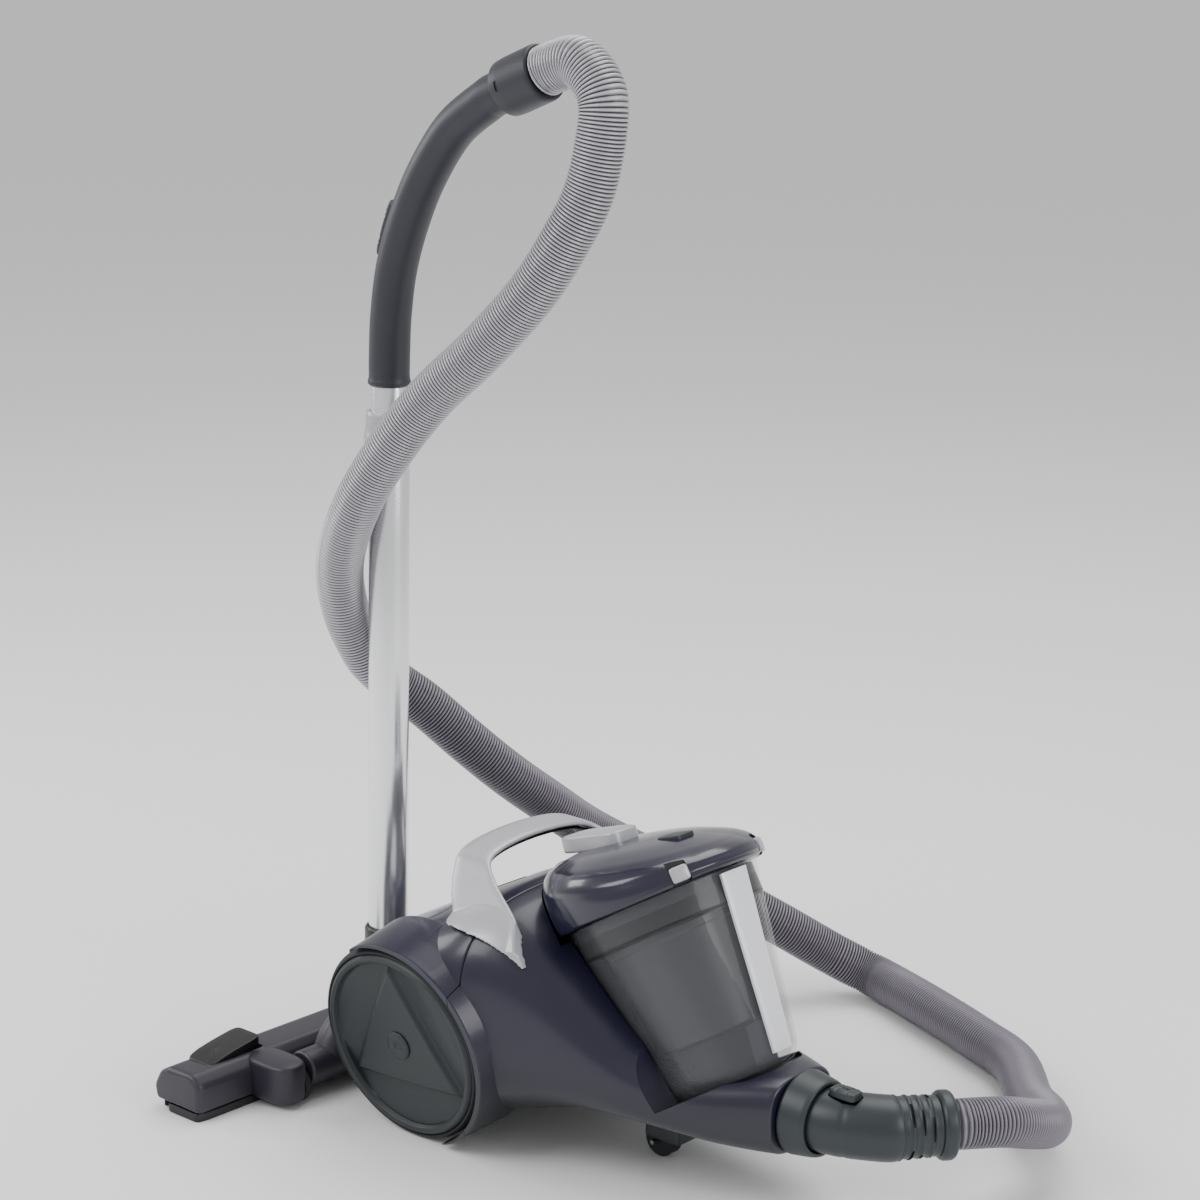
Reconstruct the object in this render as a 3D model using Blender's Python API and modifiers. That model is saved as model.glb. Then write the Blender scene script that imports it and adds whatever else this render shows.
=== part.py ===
"""Bagless cylinder vacuum cleaner, parked with its telescopic wand upright.

Metres, +Z up, +X forward (the hose inlet end). Every piece is laid out from the
rear axle, which crosses X = 0, Y = 0; the empty "axle_frame" then shifts the whole
cleaner so that the origin is the middle of its footprint, on the floor.
"""
import math

import bmesh
import bpy
from mathutils import Matrix, Vector

# Place of the rear axle in the finished frame.
AXLE_X = -0.1213
AXLE_Y = 0.0414

GAP = 0.0003

# Rear wheels: outer radius, outward lean of the top, half track at the outer face.
WHEEL_RADIUS = 0.0905
CAMBER = math.radians(10.0)
WHEEL_FACE_Y = 0.142
TYRE_EDGE = -0.010
WHEEL_X = -0.003
WHEEL_Z = WHEEL_RADIUS * math.cos(CAMBER) + TYRE_EDGE * math.sin(CAMBER)
WELL_RADIUS = 0.0950
WELL_DEPTH = 0.036

# Body: stations along X with half width, bottom and top.
BODY_STATIONS = [
    (-0.092, 0.064, 0.055, 0.126),
    (-0.078, 0.104, 0.034, 0.155),
    (-0.050, 0.130, 0.027, 0.174),
    (-0.015, 0.141, 0.024, 0.195),
    (0.025, 0.145, 0.024, 0.215),
    (0.060, 0.142, 0.027, 0.227),
    (0.095, 0.131, 0.034, 0.224),
    (0.130, 0.119, 0.045, 0.201),
    (0.165, 0.108, 0.053, 0.168),
    (0.200, 0.097, 0.056, 0.138),
    (0.240, 0.083, 0.055, 0.119),
    (0.280, 0.066, 0.051, 0.116),
    (0.310, 0.051, 0.050, 0.1175),
    (0.328, 0.042, 0.0505, 0.1175),
]
BODY_SIDES = 32
BODY_ROUND = 3.1
SPLIT_X = 0.068

# Dust bin: foot of its axis, lean, radii and height, all in its own leaning frame.
BIN_FOOT = Vector((0.262, 0.0, 0.090))
BIN_LEAN = math.radians(32.0)
BIN_FOOT_RADIUS = 0.0565
BIN_TOP_RADIUS = 0.0860
BIN_HEIGHT = 0.168
BIN_WALL = 0.0025
LID_RADIUS = 0.094
LID_SLOPE = 0.25
LID_CROWN = 0.053

# Wand and nozzle.
WAND_X = -0.120
WAND_Y = -0.035
LOWER_TUBE_RADIUS = 0.018
UPPER_TUBE_RADIUS = 0.0160
TUBE_WALL = 0.001
UPPER_TUBE_FOOT_Z = 0.230
WAND_FOOT_Z = 0.088
COLLAR_Z = (0.572, 0.616)
TUBE_SHOULDER_Z = 0.586
GRIP_FOOT_Z = 0.638
GRIP_RADIUS = 0.018
NOZZLE_Y = -0.100
NOZZLE_LENGTH = 0.274
NOZZLE_X = (-0.214, -0.152)
NOZZLE_TOP = 0.043
BARREL_X = -0.131
BARREL_Z = 0.027

# Inlet, connector and hose.
INLET_Z = 0.084
CONNECTOR_RADIUS = 0.0275
HOSE_RADIUS = 0.021
CUFF_RADIUS = 0.0245

# Hose routes in the axle frame, upper stretch then lower stretch.
HOSE_UPPER = [
    (0.0960, -0.036, 0.9270), (0.1200, -0.038, 0.9070),
    (0.1250, -0.040, 0.8800), (0.1160, -0.044, 0.8280), (0.0960, -0.050, 0.7860),
    (0.0640, -0.056, 0.7390), (0.0150, -0.063, 0.6880), (-0.0350, -0.071, 0.6420),
    (-0.0760, -0.078, 0.5930), (-0.1157, -0.0790, 0.5380), (-0.1485, -0.067, 0.4820),
    (-0.1615, -0.048, 0.4320), (-0.1630, -0.0230, 0.3880),
]
HOSE_SPLICE = Vector((-0.1560, 0.0, 0.3610))
HOSE_SPLICE_WAY = Vector((0.29, 0.65, -0.70)).normalized()
HOSE_LOWER = [
    (-0.1380, 0.030, 0.3320), (-0.1160, 0.063, 0.2950),
    (-0.0970, 0.098, 0.2600), (-0.0840, 0.140, 0.2260), (-0.0750, 0.190, 0.1890),
    (-0.0540, 0.248, 0.1520), (-0.0180, 0.306, 0.1160), (0.0250, 0.352, 0.0800),
    (0.0650, 0.396, 0.0440), (0.1058, 0.4197, 0.0228), (0.1839, 0.3928, 0.0225),
    (0.2645, 0.3596, 0.0225), (0.3230, 0.3303, 0.0228), (0.3866, 0.2579, 0.0300),
    (0.4280, 0.2160, 0.0410), (0.4520, 0.1800, 0.0530), (0.4600, 0.1400, 0.0680),
    (0.4570, 0.1040, 0.0800),
]
HOSE_LEAD = 0.012
CONNECTOR_ROUTE = [
    (0.304, 0.0, 0.0845), (0.330, 0.0, 0.0840), (0.347, 0.0, 0.0838), (0.360, 0.0016, 0.0837),
    (0.374, 0.0062, 0.0836), (0.390, 0.0145, 0.0836), (0.4045, 0.0265, 0.0836),
]
SLEEVE_DIRECTION = Vector((0.62, 0.784, 0.0)).normalized()
SLEEVE_LENGTH = 0.034
RING_LENGTH = 0.013

# Swivelling front wheel.
CASTER_X = 0.196
CASTER_TRAIL = 0.014
CASTER_RADIUS = 0.0155

# Finishes: colour, roughness, metallic.
FINISHES = {
    "navy": ((0.035, 0.034, 0.085), 0.25, 0.0),
    "charcoal": ((0.055, 0.063, 0.070), 0.45, 0.0),
    "grip": ((0.060, 0.064, 0.075), 0.50, 0.0),
    "mauve": ((0.060, 0.053, 0.070), 0.45, 0.0),
    "black": ((0.012, 0.012, 0.014), 0.50, 0.0),
    "rubber": ((0.030, 0.034, 0.036), 0.80, 0.0),
    "silver": ((0.480, 0.480, 0.500), 0.35, 0.3),
    "aluminium": ((0.800, 0.800, 0.820), 0.25, 1.0),
    "steel": ((0.550, 0.550, 0.560), 0.30, 1.0),
    "clear": ((0.300, 0.300, 0.310), 0.10, 0.0),
    "white": ((0.750, 0.750, 0.770), 0.40, 0.0),
    "filter": ((0.700, 0.680, 0.620), 0.90, 0.0),
    "hose": ((0.350, 0.340, 0.360), 0.45, 0.2),
}

bin_up = Vector((-math.sin(BIN_LEAN), 0.0, math.cos(BIN_LEAN)))
bin_front = Vector((math.cos(BIN_LEAN), 0.0, math.sin(BIN_LEAN)))


def clear_scene():
    for obj in list(bpy.data.objects):
        bpy.data.objects.remove(obj, do_unlink=True)
    for group in list(bpy.data.collections):
        bpy.data.collections.remove(group)


clear_scene()
PARTS = bpy.data.collections.new("cylinder_vacuum_cleaner")
CUTTERS = bpy.data.collections.new("cutters")
bpy.context.scene.collection.children.link(PARTS)
bpy.context.scene.collection.children.link(CUTTERS)
AXLE_FRAME = bpy.data.objects.new("axle_frame", None)
AXLE_FRAME.location = (AXLE_X, AXLE_Y, 0.0)
PARTS.objects.link(AXLE_FRAME)
MATERIALS = {}


def finish_for(name):
    if name not in MATERIALS:
        colour, roughness, metallic = FINISHES[name]
        material = bpy.data.materials.new(name)
        material.use_nodes = True
        shader = material.node_tree.nodes["Principled BSDF"]
        shader.inputs["Base Color"].default_value = (*colour, 1.0)
        shader.inputs["Roughness"].default_value = roughness
        shader.inputs["Metallic"].default_value = metallic
        material.diffuse_color = (*colour, 1.0)
        MATERIALS[name] = material
    return MATERIALS[name]


def own_material(obj, name):
    material = finish_for(name).copy()
    material.name = obj.name + "_" + name
    obj.data.materials.clear()
    obj.data.materials.append(material)


def turn_to(direction, forward=(1.0, 0.0, 0.0)):
    """Rotation whose local Z is direction and whose local X leans to forward."""
    up = Vector(direction).normalized()
    ahead = Vector(forward)
    ahead = ahead - up * ahead.dot(up)
    if ahead.length < 1e-6:
        ahead = Vector((0.0, 1.0, 0.0)) - up * up.y
    ahead.normalize()
    side = up.cross(ahead)
    return Matrix((ahead, side, up)).transposed()


def place(obj, finish=None, at=(0.0, 0.0, 0.0), turn=None, cutter=False):
    """Hang the object on the axle frame; a cutter goes to its own collection."""
    for group in list(obj.users_collection):
        group.objects.unlink(obj)
    (CUTTERS if cutter else PARTS).objects.link(obj)
    obj.parent = AXLE_FRAME
    basis = (turn or Matrix.Identity(3)).to_4x4()
    basis.translation = Vector(at)
    obj.matrix_basis = basis
    if cutter:
        obj.hide_render = True
        obj.display_type = "WIRE"
    elif finish:
        own_material(obj, finish)
    return obj


def mesh_object(name, bm):
    mesh = bpy.data.meshes.new(name)
    bmesh.ops.recalc_face_normals(bm, faces=bm.faces)
    bm.to_mesh(mesh)
    bm.free()
    obj = bpy.data.objects.new(name, mesh)
    PARTS.objects.link(obj)
    return obj


def smooth(obj, angle=40.0):
    obj.data.shade_smooth()
    obj.data.set_sharp_from_angle(angle=math.radians(angle))
    return obj


def box(name, low, high, finish=None, bevel=0.0, segments=2, cutter=False, at=(0, 0, 0), turn=None):
    """Cuboid between two corners, with rounded edges."""
    bm = bmesh.new()
    bmesh.ops.create_cube(bm, size=1.0)
    size = Vector(high) - Vector(low)
    middle = (Vector(high) + Vector(low)) / 2.0
    for vert in bm.verts:
        vert.co = Vector(v * s for v, s in zip(vert.co, size)) + middle
    obj = place(mesh_object(name, bm), finish, at, turn, cutter)
    if bevel:
        soften(obj, bevel, segments)
    return obj


def soften(obj, width, segments=2, angle=35.0):
    bevel = obj.modifiers.new("rounded_edges", "BEVEL")
    bevel.width = width
    bevel.segments = segments
    bevel.limit_method = "ANGLE"
    bevel.angle_limit = math.radians(angle)
    bevel.use_clamp_overlap = True
    return obj


def turned(name, profile, steps, finish=None, at=(0, 0, 0), axis=(0, 0, 1), cutter=False, ring=False):
    """Profile of (radius, height) pairs, top to bottom down the outer side, spun about axis."""
    bm = bmesh.new()
    verts = [bm.verts.new((radius, 0.0, height)) for radius, height in profile]
    for first, second in zip(verts, verts[1:]):
        bm.edges.new((first, second))
    if ring:
        bm.edges.new((verts[-1], verts[0]))
    mesh = bpy.data.meshes.new(name)
    bm.to_mesh(mesh)
    bm.free()
    obj = bpy.data.objects.new(name, mesh)
    screw = obj.modifiers.new("spin", "SCREW")
    screw.axis = "Z"
    screw.angle = 2.0 * math.pi
    screw.steps = steps
    screw.render_steps = steps
    screw.use_merge_vertices = True
    screw.merge_threshold = 0.00005
    screw.use_smooth_shade = True
    PARTS.objects.link(obj)
    return place(obj, finish, at, turn_to(axis), cutter)


def rounded_disc(radius, top, bottom, edge):
    """Closed disc profile with its two rims rounded."""
    points = [(0.0, top)]
    for step in range(3):
        angle = math.radians(90.0 - 45.0 * step)
        points.append((radius - edge + edge * math.cos(angle), top - edge + edge * math.sin(angle)))
    for step in range(3):
        angle = math.radians(-45.0 * step)
        points.append((radius - edge + edge * math.cos(angle), bottom + edge + edge * math.sin(angle)))
    points.append((0.0, bottom))
    return points


def pipe_profile(outer, inner, top, bottom):
    return [(outer, top), (outer, bottom), (inner, bottom), (inner, top)]


def cut(obj, cutter, operation="DIFFERENCE"):
    step = obj.modifiers.new(cutter.name, "BOOLEAN")
    step.operation = operation
    step.solver = "EXACT"
    step.object = cutter
    return obj


def rehang(obj, at):
    """Move the origin to another point of the axle frame, leaving the shape where it is."""
    turn = obj.matrix_basis.to_3x3()
    shift = Vector(at) - obj.matrix_basis.translation
    obj.data.transform(Matrix.Translation(turn.inverted() @ -shift))
    obj.matrix_basis.translation = Vector(at)
    return obj


def smooth_route(points, spacing):
    """Points at even spacing on a Catmull-Rom curve through the route."""
    route = [Vector(p) for p in points]
    ends = [route[0] * 2.0 - route[1]] + route + [route[-1] * 2.0 - route[-2]]
    fine = []
    for index in range(1, len(ends) - 2):
        before, start, stop, after = ends[index - 1:index + 3]
        for part in range(24):
            t = part / 24.0
            fine.append(0.5 * (2.0 * start + (stop - before) * t
                               + (2.0 * before - 5.0 * start + 4.0 * stop - after) * t * t
                               + (3.0 * start - before - 3.0 * stop + after) * t * t * t))
    fine.append(route[-1])
    lengths = [0.0]
    for first, second in zip(fine, fine[1:]):
        lengths.append(lengths[-1] + (second - first).length)
    count = max(2, round(lengths[-1] / spacing))
    even = []
    seek = 0
    for index in range(count + 1):
        goal = lengths[-1] * index / count
        while seek < len(fine) - 2 and lengths[seek + 1] < goal:
            seek += 1
        span = max(lengths[seek + 1] - lengths[seek], 1e-9)
        even.append(fine[seek].lerp(fine[seek + 1], (goal - lengths[seek]) / span))
    return even


def rod(name, points, radius, finish=None, resolution=3, cutter=False, as_mesh=False, radii=None):
    """Round bar along a run of points, with filled ends."""
    curve = bpy.data.curves.new(name, "CURVE")
    curve.dimensions = "3D"
    curve.bevel_depth = radius
    curve.bevel_resolution = resolution
    curve.use_fill_caps = True
    spline = curve.splines.new("POLY")
    spline.points.add(len(points) - 1)
    for index, (slot, point) in enumerate(zip(spline.points, points)):
        slot.co = (*point, 1.0)
        slot.radius = radii[index] if radii else 1.0
    obj = bpy.data.objects.new(name, curve)
    PARTS.objects.link(obj)
    place(obj, finish, cutter=cutter)
    if as_mesh or cutter:
        return welded(obj, finish, cutter)
    return obj


def welded(curve_object, finish, cutter=False):
    """The curve's tube as a mesh whose caps are joined to its wall."""
    bpy.context.view_layer.update()
    depsgraph = bpy.context.evaluated_depsgraph_get()
    mesh = bpy.data.meshes.new_from_object(curve_object.evaluated_get(depsgraph))
    bm = bmesh.new()
    bm.from_mesh(mesh)
    bmesh.ops.remove_doubles(bm, verts=bm.verts, dist=0.00002)
    bmesh.ops.recalc_face_normals(bm, faces=bm.faces)
    bm.to_mesh(mesh)
    bm.free()
    name = curve_object.name
    bpy.data.objects.remove(curve_object, do_unlink=True)
    obj = bpy.data.objects.new(name, mesh)
    PARTS.objects.link(obj)
    return place(obj, finish, cutter=cutter)


def plate(name, outline, thickness, finish=None, at=(0, 0, 0), turn=None, cutter=False):
    """Flat outline in its own XY, given half its thickness each way."""
    curve = bpy.data.curves.new(name, "CURVE")
    curve.dimensions = "2D"
    curve.fill_mode = "BOTH"
    curve.extrude = thickness / 2.0
    spline = curve.splines.new("POLY")
    spline.points.add(len(outline) - 1)
    for slot, (x, y) in zip(spline.points, outline):
        slot.co = (x, y, 0.0, 1.0)
    spline.use_cyclic_u = True
    obj = bpy.data.objects.new(name, curve)
    PARTS.objects.link(obj)
    place(obj, None, at, turn, cutter)
    bpy.context.view_layer.update()
    depsgraph = bpy.context.evaluated_depsgraph_get()
    mesh = bpy.data.meshes.new_from_object(obj.evaluated_get(depsgraph))
    bm = bmesh.new()
    bm.from_mesh(mesh)
    bmesh.ops.remove_doubles(bm, verts=bm.verts, dist=0.00002)
    bmesh.ops.recalc_face_normals(bm, faces=bm.faces)
    bm.to_mesh(mesh)
    bm.free()
    bpy.data.objects.remove(obj, do_unlink=True)
    obj = bpy.data.objects.new(name, mesh)
    PARTS.objects.link(obj)
    return place(obj, finish, at, turn, cutter)


def loft(name, sections, finish=None, cutter=False, at=(0, 0, 0), turn=None):
    """Skin over rings of equal point count, closed at both ends."""
    bm = bmesh.new()
    rings = [[bm.verts.new(point) for point in section] for section in sections]
    count = len(rings[0])
    for first, second in zip(rings, rings[1:]):
        for index in range(count):
            after = (index + 1) % count
            bm.faces.new((first[index], first[after], second[after], second[index]))
    bm.faces.new(rings[0])
    bm.faces.new(rings[-1])
    return place(mesh_object(name, bm), finish, at, turn, cutter)


def bin_point(forward, side, up):
    """Point given in the dust bin's leaning frame."""
    return BIN_FOOT + bin_front * forward + Vector((0.0, side, 0.0)) + bin_up * up


BIN_TURN = turn_to(bin_up, bin_front)


# ---------------------------------------------------------------- body shells

def body_ring(x, half_width, bottom, top, inset):
    """Squared-off oval across the body, drawn in by inset."""
    middle = (bottom + top) / 2.0
    half_height = (top - bottom) / 2.0 - inset
    points = []
    for index in range(BODY_SIDES):
        angle = 2.0 * math.pi * (index + 0.5) / BODY_SIDES
        across = math.copysign(abs(math.cos(angle)) ** (2.0 / BODY_ROUND), math.cos(angle))
        along = math.copysign(abs(math.sin(angle)) ** (2.0 / BODY_ROUND), math.sin(angle))
        points.append((x, (half_width - inset) * across, middle + half_height * along))
    return points


def body_solid(name, inset=0.0, finish=None, cutter=False):
    sections = []
    last = len(BODY_STATIONS) - 1
    for index, (x, half_width, bottom, top) in enumerate(BODY_STATIONS):
        shift = inset if index == 0 else -inset if index == last else 0.0
        sections.append(body_ring(x + shift, half_width, bottom, top, inset))
    return loft(name, sections, finish, cutter)


def wheel_centre(side):
    return Vector((WHEEL_X, side * WHEEL_FACE_Y, WHEEL_Z))


def wheel_axis(side):
    return Vector((0.0, side * math.cos(CAMBER), -math.sin(CAMBER)))


def well_cutter(side, name):
    profile = [(0.0, 0.08), (WELL_RADIUS, 0.08), (WELL_RADIUS, -WELL_DEPTH), (0.0, -WELL_DEPTH)]
    return turned(name, profile, 36, at=wheel_centre(side), axis=wheel_axis(side), cutter=True)


def axle_cutter(side, name):
    profile = [(0.0, 0.0), (0.0064, 0.0), (0.0064, -0.0568), (0.0, -0.0568)]
    return turned(name, profile, 12, at=wheel_centre(side), axis=wheel_axis(side), cutter=True)


def bin_space_cutter(clearance, name):
    """Room for the bin and its lid, with the cradle's open front."""
    slope = (BIN_TOP_RADIUS - BIN_FOOT_RADIUS) / BIN_HEIGHT
    foot = BIN_FOOT_RADIUS + clearance
    step = BIN_HEIGHT - 0.006
    profile = [(0.0, 0.32), (LID_RADIUS + 0.002, 0.32), (LID_RADIUS + 0.002, step),
               (foot + slope * step, step), (foot, 0.0), (foot - 0.006, -clearance), (0.0, -clearance)]
    return turned(name, profile, 48, at=BIN_FOOT, axis=bin_up, cutter=True)


def deck_turn():
    """The rear deck rises forward; local Z is its normal."""
    return turn_to((-0.48, 0.0, 0.877), (0.877, 0.0, 0.48))


PEDAL_PLACES = {"power_pedal": (-0.034, -0.060, 0.1795), "rewind_pedal": (-0.034, 0.060, 0.1795)}
PEDAL_SIZE = (0.058, 0.034, 0.010)
GRILLE_PLACE = (-0.032, 0.0, 0.1835)
GRILLE_SIZE = (0.062, 0.060, 0.006)


def half(size, extra=0.0):
    return [s / 2.0 + extra for s in size]


def pocket(name, place_at, size, extra, depth):
    hx, hy, hz = half(size, extra)
    return box(name, (-hx, -hy, -depth), (hx, hy, hz + 0.030), cutter=True, at=place_at, turn=deck_turn())


def build_body():
    rear = body_solid("rear_housing", finish="navy")
    front = body_solid("front_body", finish="navy")
    for side, label in ((-1, "right"), (1, "left")):
        well = well_cutter(side, "wheel_well_" + label)
        cut(rear, well)
        cut(front, well)
        cut(rear, axle_cutter(side, "axle_hole_" + label))
    cut(rear, box("rear_half_space", (-0.3, -0.3, -0.1), (SPLIT_X - GAP, 0.3, 0.4), cutter=True),
        "INTERSECT")
    cut(front, box("front_half_space", (SPLIT_X, -0.3, -0.1), (0.5, 0.3, 0.4), cutter=True), "INTERSECT")
    cavity = [(x, min(w - 0.03, 0.083), low, top - 0.005) for x, w, low, top in (
        (-0.080, 0.100, -0.02, 0.145), (-0.055, 0.125, -0.02, 0.166), (-0.015, 0.14, -0.02, 0.189),
        (0.025, 0.14, -0.02, 0.208), (0.0615, 0.14, -0.02, 0.219))]
    hollow = [[(x, sy * w, z) for sy, z in ((-1, low), (1, low), (1, top - 0.012), (0.86, top),
                                             (-0.86, top), (-1, top - 0.012))]
              for x, w, low, top in cavity]
    cut(rear, loft("motor_room", hollow, cutter=True))
    for name, where in PEDAL_PLACES.items():
        cut(rear, pocket(name + "_pocket", where, PEDAL_SIZE, 0.0006, 0.030))
    cut(rear, pocket("grille_pocket", GRILLE_PLACE, GRILLE_SIZE, 0.0005, 0.030))
    bin_space = bin_space_cutter(0.0010, "bin_space")
    cut(front, bin_space)
    cut(rear, bin_space)
    open_front = box("cradle_front", (-0.024, -0.2, 0.004), (0.30, 0.2, 0.36), cutter=True,
                     at=BIN_FOOT, turn=BIN_TURN)
    cut(front, open_front)
    bore = turned("inlet_bore", [(0.0, 0.36), (0.0295, 0.36), (0.0295, 0.300), (0.0, 0.300)], 32,
                  at=(0.0, 0.0, INLET_Z), axis=(1, 0, 0), cutter=True)
    cut(front, bore)
    throat = box("inlet_throat", (0.296, -0.0185, 0.068), (0.302, 0.0185, 0.101), cutter=True)
    cut(front, throat)
    stem_bore = turned("caster_bore", [(0.0, 0.0640), (0.0079, 0.0640), (0.0079, 0.0), (0.0, 0.0)], 16,
                       at=(CASTER_X, 0.0, 0.0), cutter=True)
    cut(front, stem_bore)
    smooth(rear)
    smooth(front)


def build_floor_pan():
    """Underside pan that closes the motor room."""
    pan = box("lower_chassis", (-0.072, -0.0825, 0.0262), (0.0585, 0.0825, 0.0302), "charcoal", 0.0012, 1)
    for side in (-1, 1):
        cut(pan, box("pan_notch_%s" % ("left" if side > 0 else "right"),
                     (-0.02, side * 0.074, 0.0), (0.02, side * 0.09, 0.05), cutter=True))
    return pan


# ---------------------------------------------------------------- wheels

def build_wheel(side, label):
    centre = wheel_centre(side)
    axis = wheel_axis(side)
    rim = WHEEL_RADIUS - 0.0052
    disc = [(0.0, -0.0035), (0.0150, -0.0035), (0.0580, -0.0050), (rim - 0.0088, -0.0022),
            (rim - 0.0028, -0.0022),
            (rim, -0.0055), (rim, -0.0250), (rim - 0.0048, -0.0300), (0.0120, -0.0300), (0.0120, -0.0320),
            (0.0070, -0.0320), (0.0070, -0.0120), (0.0, -0.0120)]
    turned("wheel_" + label, disc, 32, "charcoal", centre, axis)
    tread = WHEEL_RADIUS - 0.0030
    tyre = [(tread, -0.0040), (WHEEL_RADIUS, TYRE_EDGE), (WHEEL_RADIUS, -0.0180), (tread, -0.0240),
            (rim + GAP, -0.0240), (rim + GAP, -0.0040)]
    turned("tyre_" + label, tyre, 40, "rubber", centre, axis, ring=True)
    cap = [(0.0, 0.0014), (0.0105, 0.0010), (0.0130, -0.0008), (0.0130, -0.0032), (0.0, -0.0032)]
    turned("hub_cap_" + label, cap, 20, "charcoal", centre, axis)
    axle = [(0.0, -0.0125), (0.0052, -0.0125), (0.0060, -0.0135), (0.0060, -0.0540), (0.0, -0.0540)]
    turned("wheel_axle_" + label, axle, 16, "steel", centre, axis)


def build_caster():
    """Swivelling front wheel: a fork on a vertical stem and a roller on a pin."""
    fork = box("caster_fork", (-0.022, -0.0175, 0.020), (0.016, 0.0175, 0.0445), "charcoal", 0.003, 2,
               at=(CASTER_X, 0, 0))
    room = turned("caster_roller_room",
                  [(0.0, 0.0112), (0.0180, 0.0112), (0.0180, -0.0112), (0.0, -0.0112)],
                  24, at=(CASTER_X - CASTER_TRAIL, 0, CASTER_RADIUS), axis=(0, 1, 0), cutter=True)
    cut(fork, room)
    stem = turned("caster_stem", [(0.0, 0.0630), (0.0075, 0.0630), (0.0075, 0.040), (0.0, 0.040)], 16,
                  at=(CASTER_X, 0, 0), axis=(0, 0, 1), cutter=True)
    cut(fork, stem, "UNION")
    hole = turned("caster_pin_hole", [(0.0, 0.03), (0.0023, 0.03), (0.0023, -0.03), (0.0, -0.03)], 12,
                  at=(CASTER_X - CASTER_TRAIL, 0, CASTER_RADIUS), axis=(0, 1, 0), cutter=True)
    cut(fork, hole)
    roller = [(0.0125, 0.0090), (CASTER_RADIUS, 0.0060), (CASTER_RADIUS, -0.0060), (0.0125, -0.0090),
              (0.0026, -0.0090), (0.0026, 0.0090)]
    turned("caster_wheel", roller, 24, "rubber", (CASTER_X - CASTER_TRAIL, 0, CASTER_RADIUS), (0, 1, 0),
           ring=True)
    pin = [(0.0, 0.0165), (0.0020, 0.0165), (0.0020, -0.0165), (0.0, -0.0165)]
    turned("caster_pin", pin, 12, "steel", (CASTER_X - CASTER_TRAIL, 0, CASTER_RADIUS), (0, 1, 0))


# ---------------------------------------------------------------- motor room

MOTOR_X = -0.008
MOTOR_Z = 0.096


def build_motor_room():
    can = [(0.0445, 0.035), (0.0460, 0.033), (0.0460, -0.045), (0.0432, -0.045), (0.0432, 0.030),
           (0.0045, 0.030), (0.0045, 0.035)]
    turned("motor_can", can, 32, "steel", (MOTOR_X, -0.005, MOTOR_Z), (0, 1, 0), ring=True)
    rotor = [(0.0, 0.034), (0.0040, 0.034), (0.0040, 0.022), (0.0230, 0.022), (0.0230, -0.018),
             (0.0060, -0.018), (0.0060, -0.026), (0.0400, -0.026), (0.0400, -0.040), (0.0, -0.040)]
    turned("impeller_rotor", rotor, 28, "aluminium", (MOTOR_X, -0.005, MOTOR_Z), (0, 1, 0))
    seal = pipe_profile(0.0500, 0.0464, -0.026, -0.038)
    turned("motor_seal", seal, 28, "rubber", (MOTOR_X, -0.005, MOTOR_Z), (0, 1, 0), ring=True)
    turned("pre_motor_filter", rounded_disc(0.0440, -0.0515, -0.0655, 0.002), 28, "filter",
           (MOTOR_X, -0.005, MOTOR_Z), (0, 1, 0))
    reel = [(0.0520, 0.078), (0.0520, 0.0755), (0.0300, 0.0755), (0.0300, 0.0475), (0.0520, 0.0475),
            (0.0520, 0.0450), (0.0066, 0.0450), (0.0066, 0.078)]
    turned("cord_reel", reel, 32, "black", (MOTOR_X, 0.0, MOTOR_Z), (0, 1, 0), ring=True)
    axle = [(0.0, 0.0815), (0.0062, 0.0815), (0.0062, 0.0400), (0.0, 0.0400)]
    turned("reel_axle", axle, 16, "steel", (MOTOR_X, 0.0, MOTOR_Z), (0, 1, 0))
    box("exhaust_filter", (-0.030, -0.028, -0.0150), (0.030, 0.028, -0.0060), "filter", 0.001, 1,
        at=GRILLE_PLACE, turn=deck_turn())


# ---------------------------------------------------------------- rear deck

def build_deck():
    for name, where in PEDAL_PLACES.items():
        hx, hy, hz = half(PEDAL_SIZE)
        box(name, (-hx, -hy, -hz), (hx, hy, hz), "silver", 0.0022, 2, at=where, turn=deck_turn())
    hx, hy, hz = half(GRILLE_SIZE)
    hinge = Vector(GRILLE_PLACE) + deck_turn() @ Vector((hx, 0.0, hz))
    grille = box("exhaust_grille", (-2.0 * hx, -hy, -2.0 * hz), (0.0, hy, 0.0), "navy", 0.001, 1,
                 at=hinge, turn=deck_turn())
    for index in range(7):
        x = -0.0225 + 0.0075 * index
        cut(grille, box("grille_slot_%d" % index, (x - 0.0016, -0.024, -0.02), (x + 0.0016, 0.024, 0.02),
                        cutter=True, at=GRILLE_PLACE, turn=deck_turn()))


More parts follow.
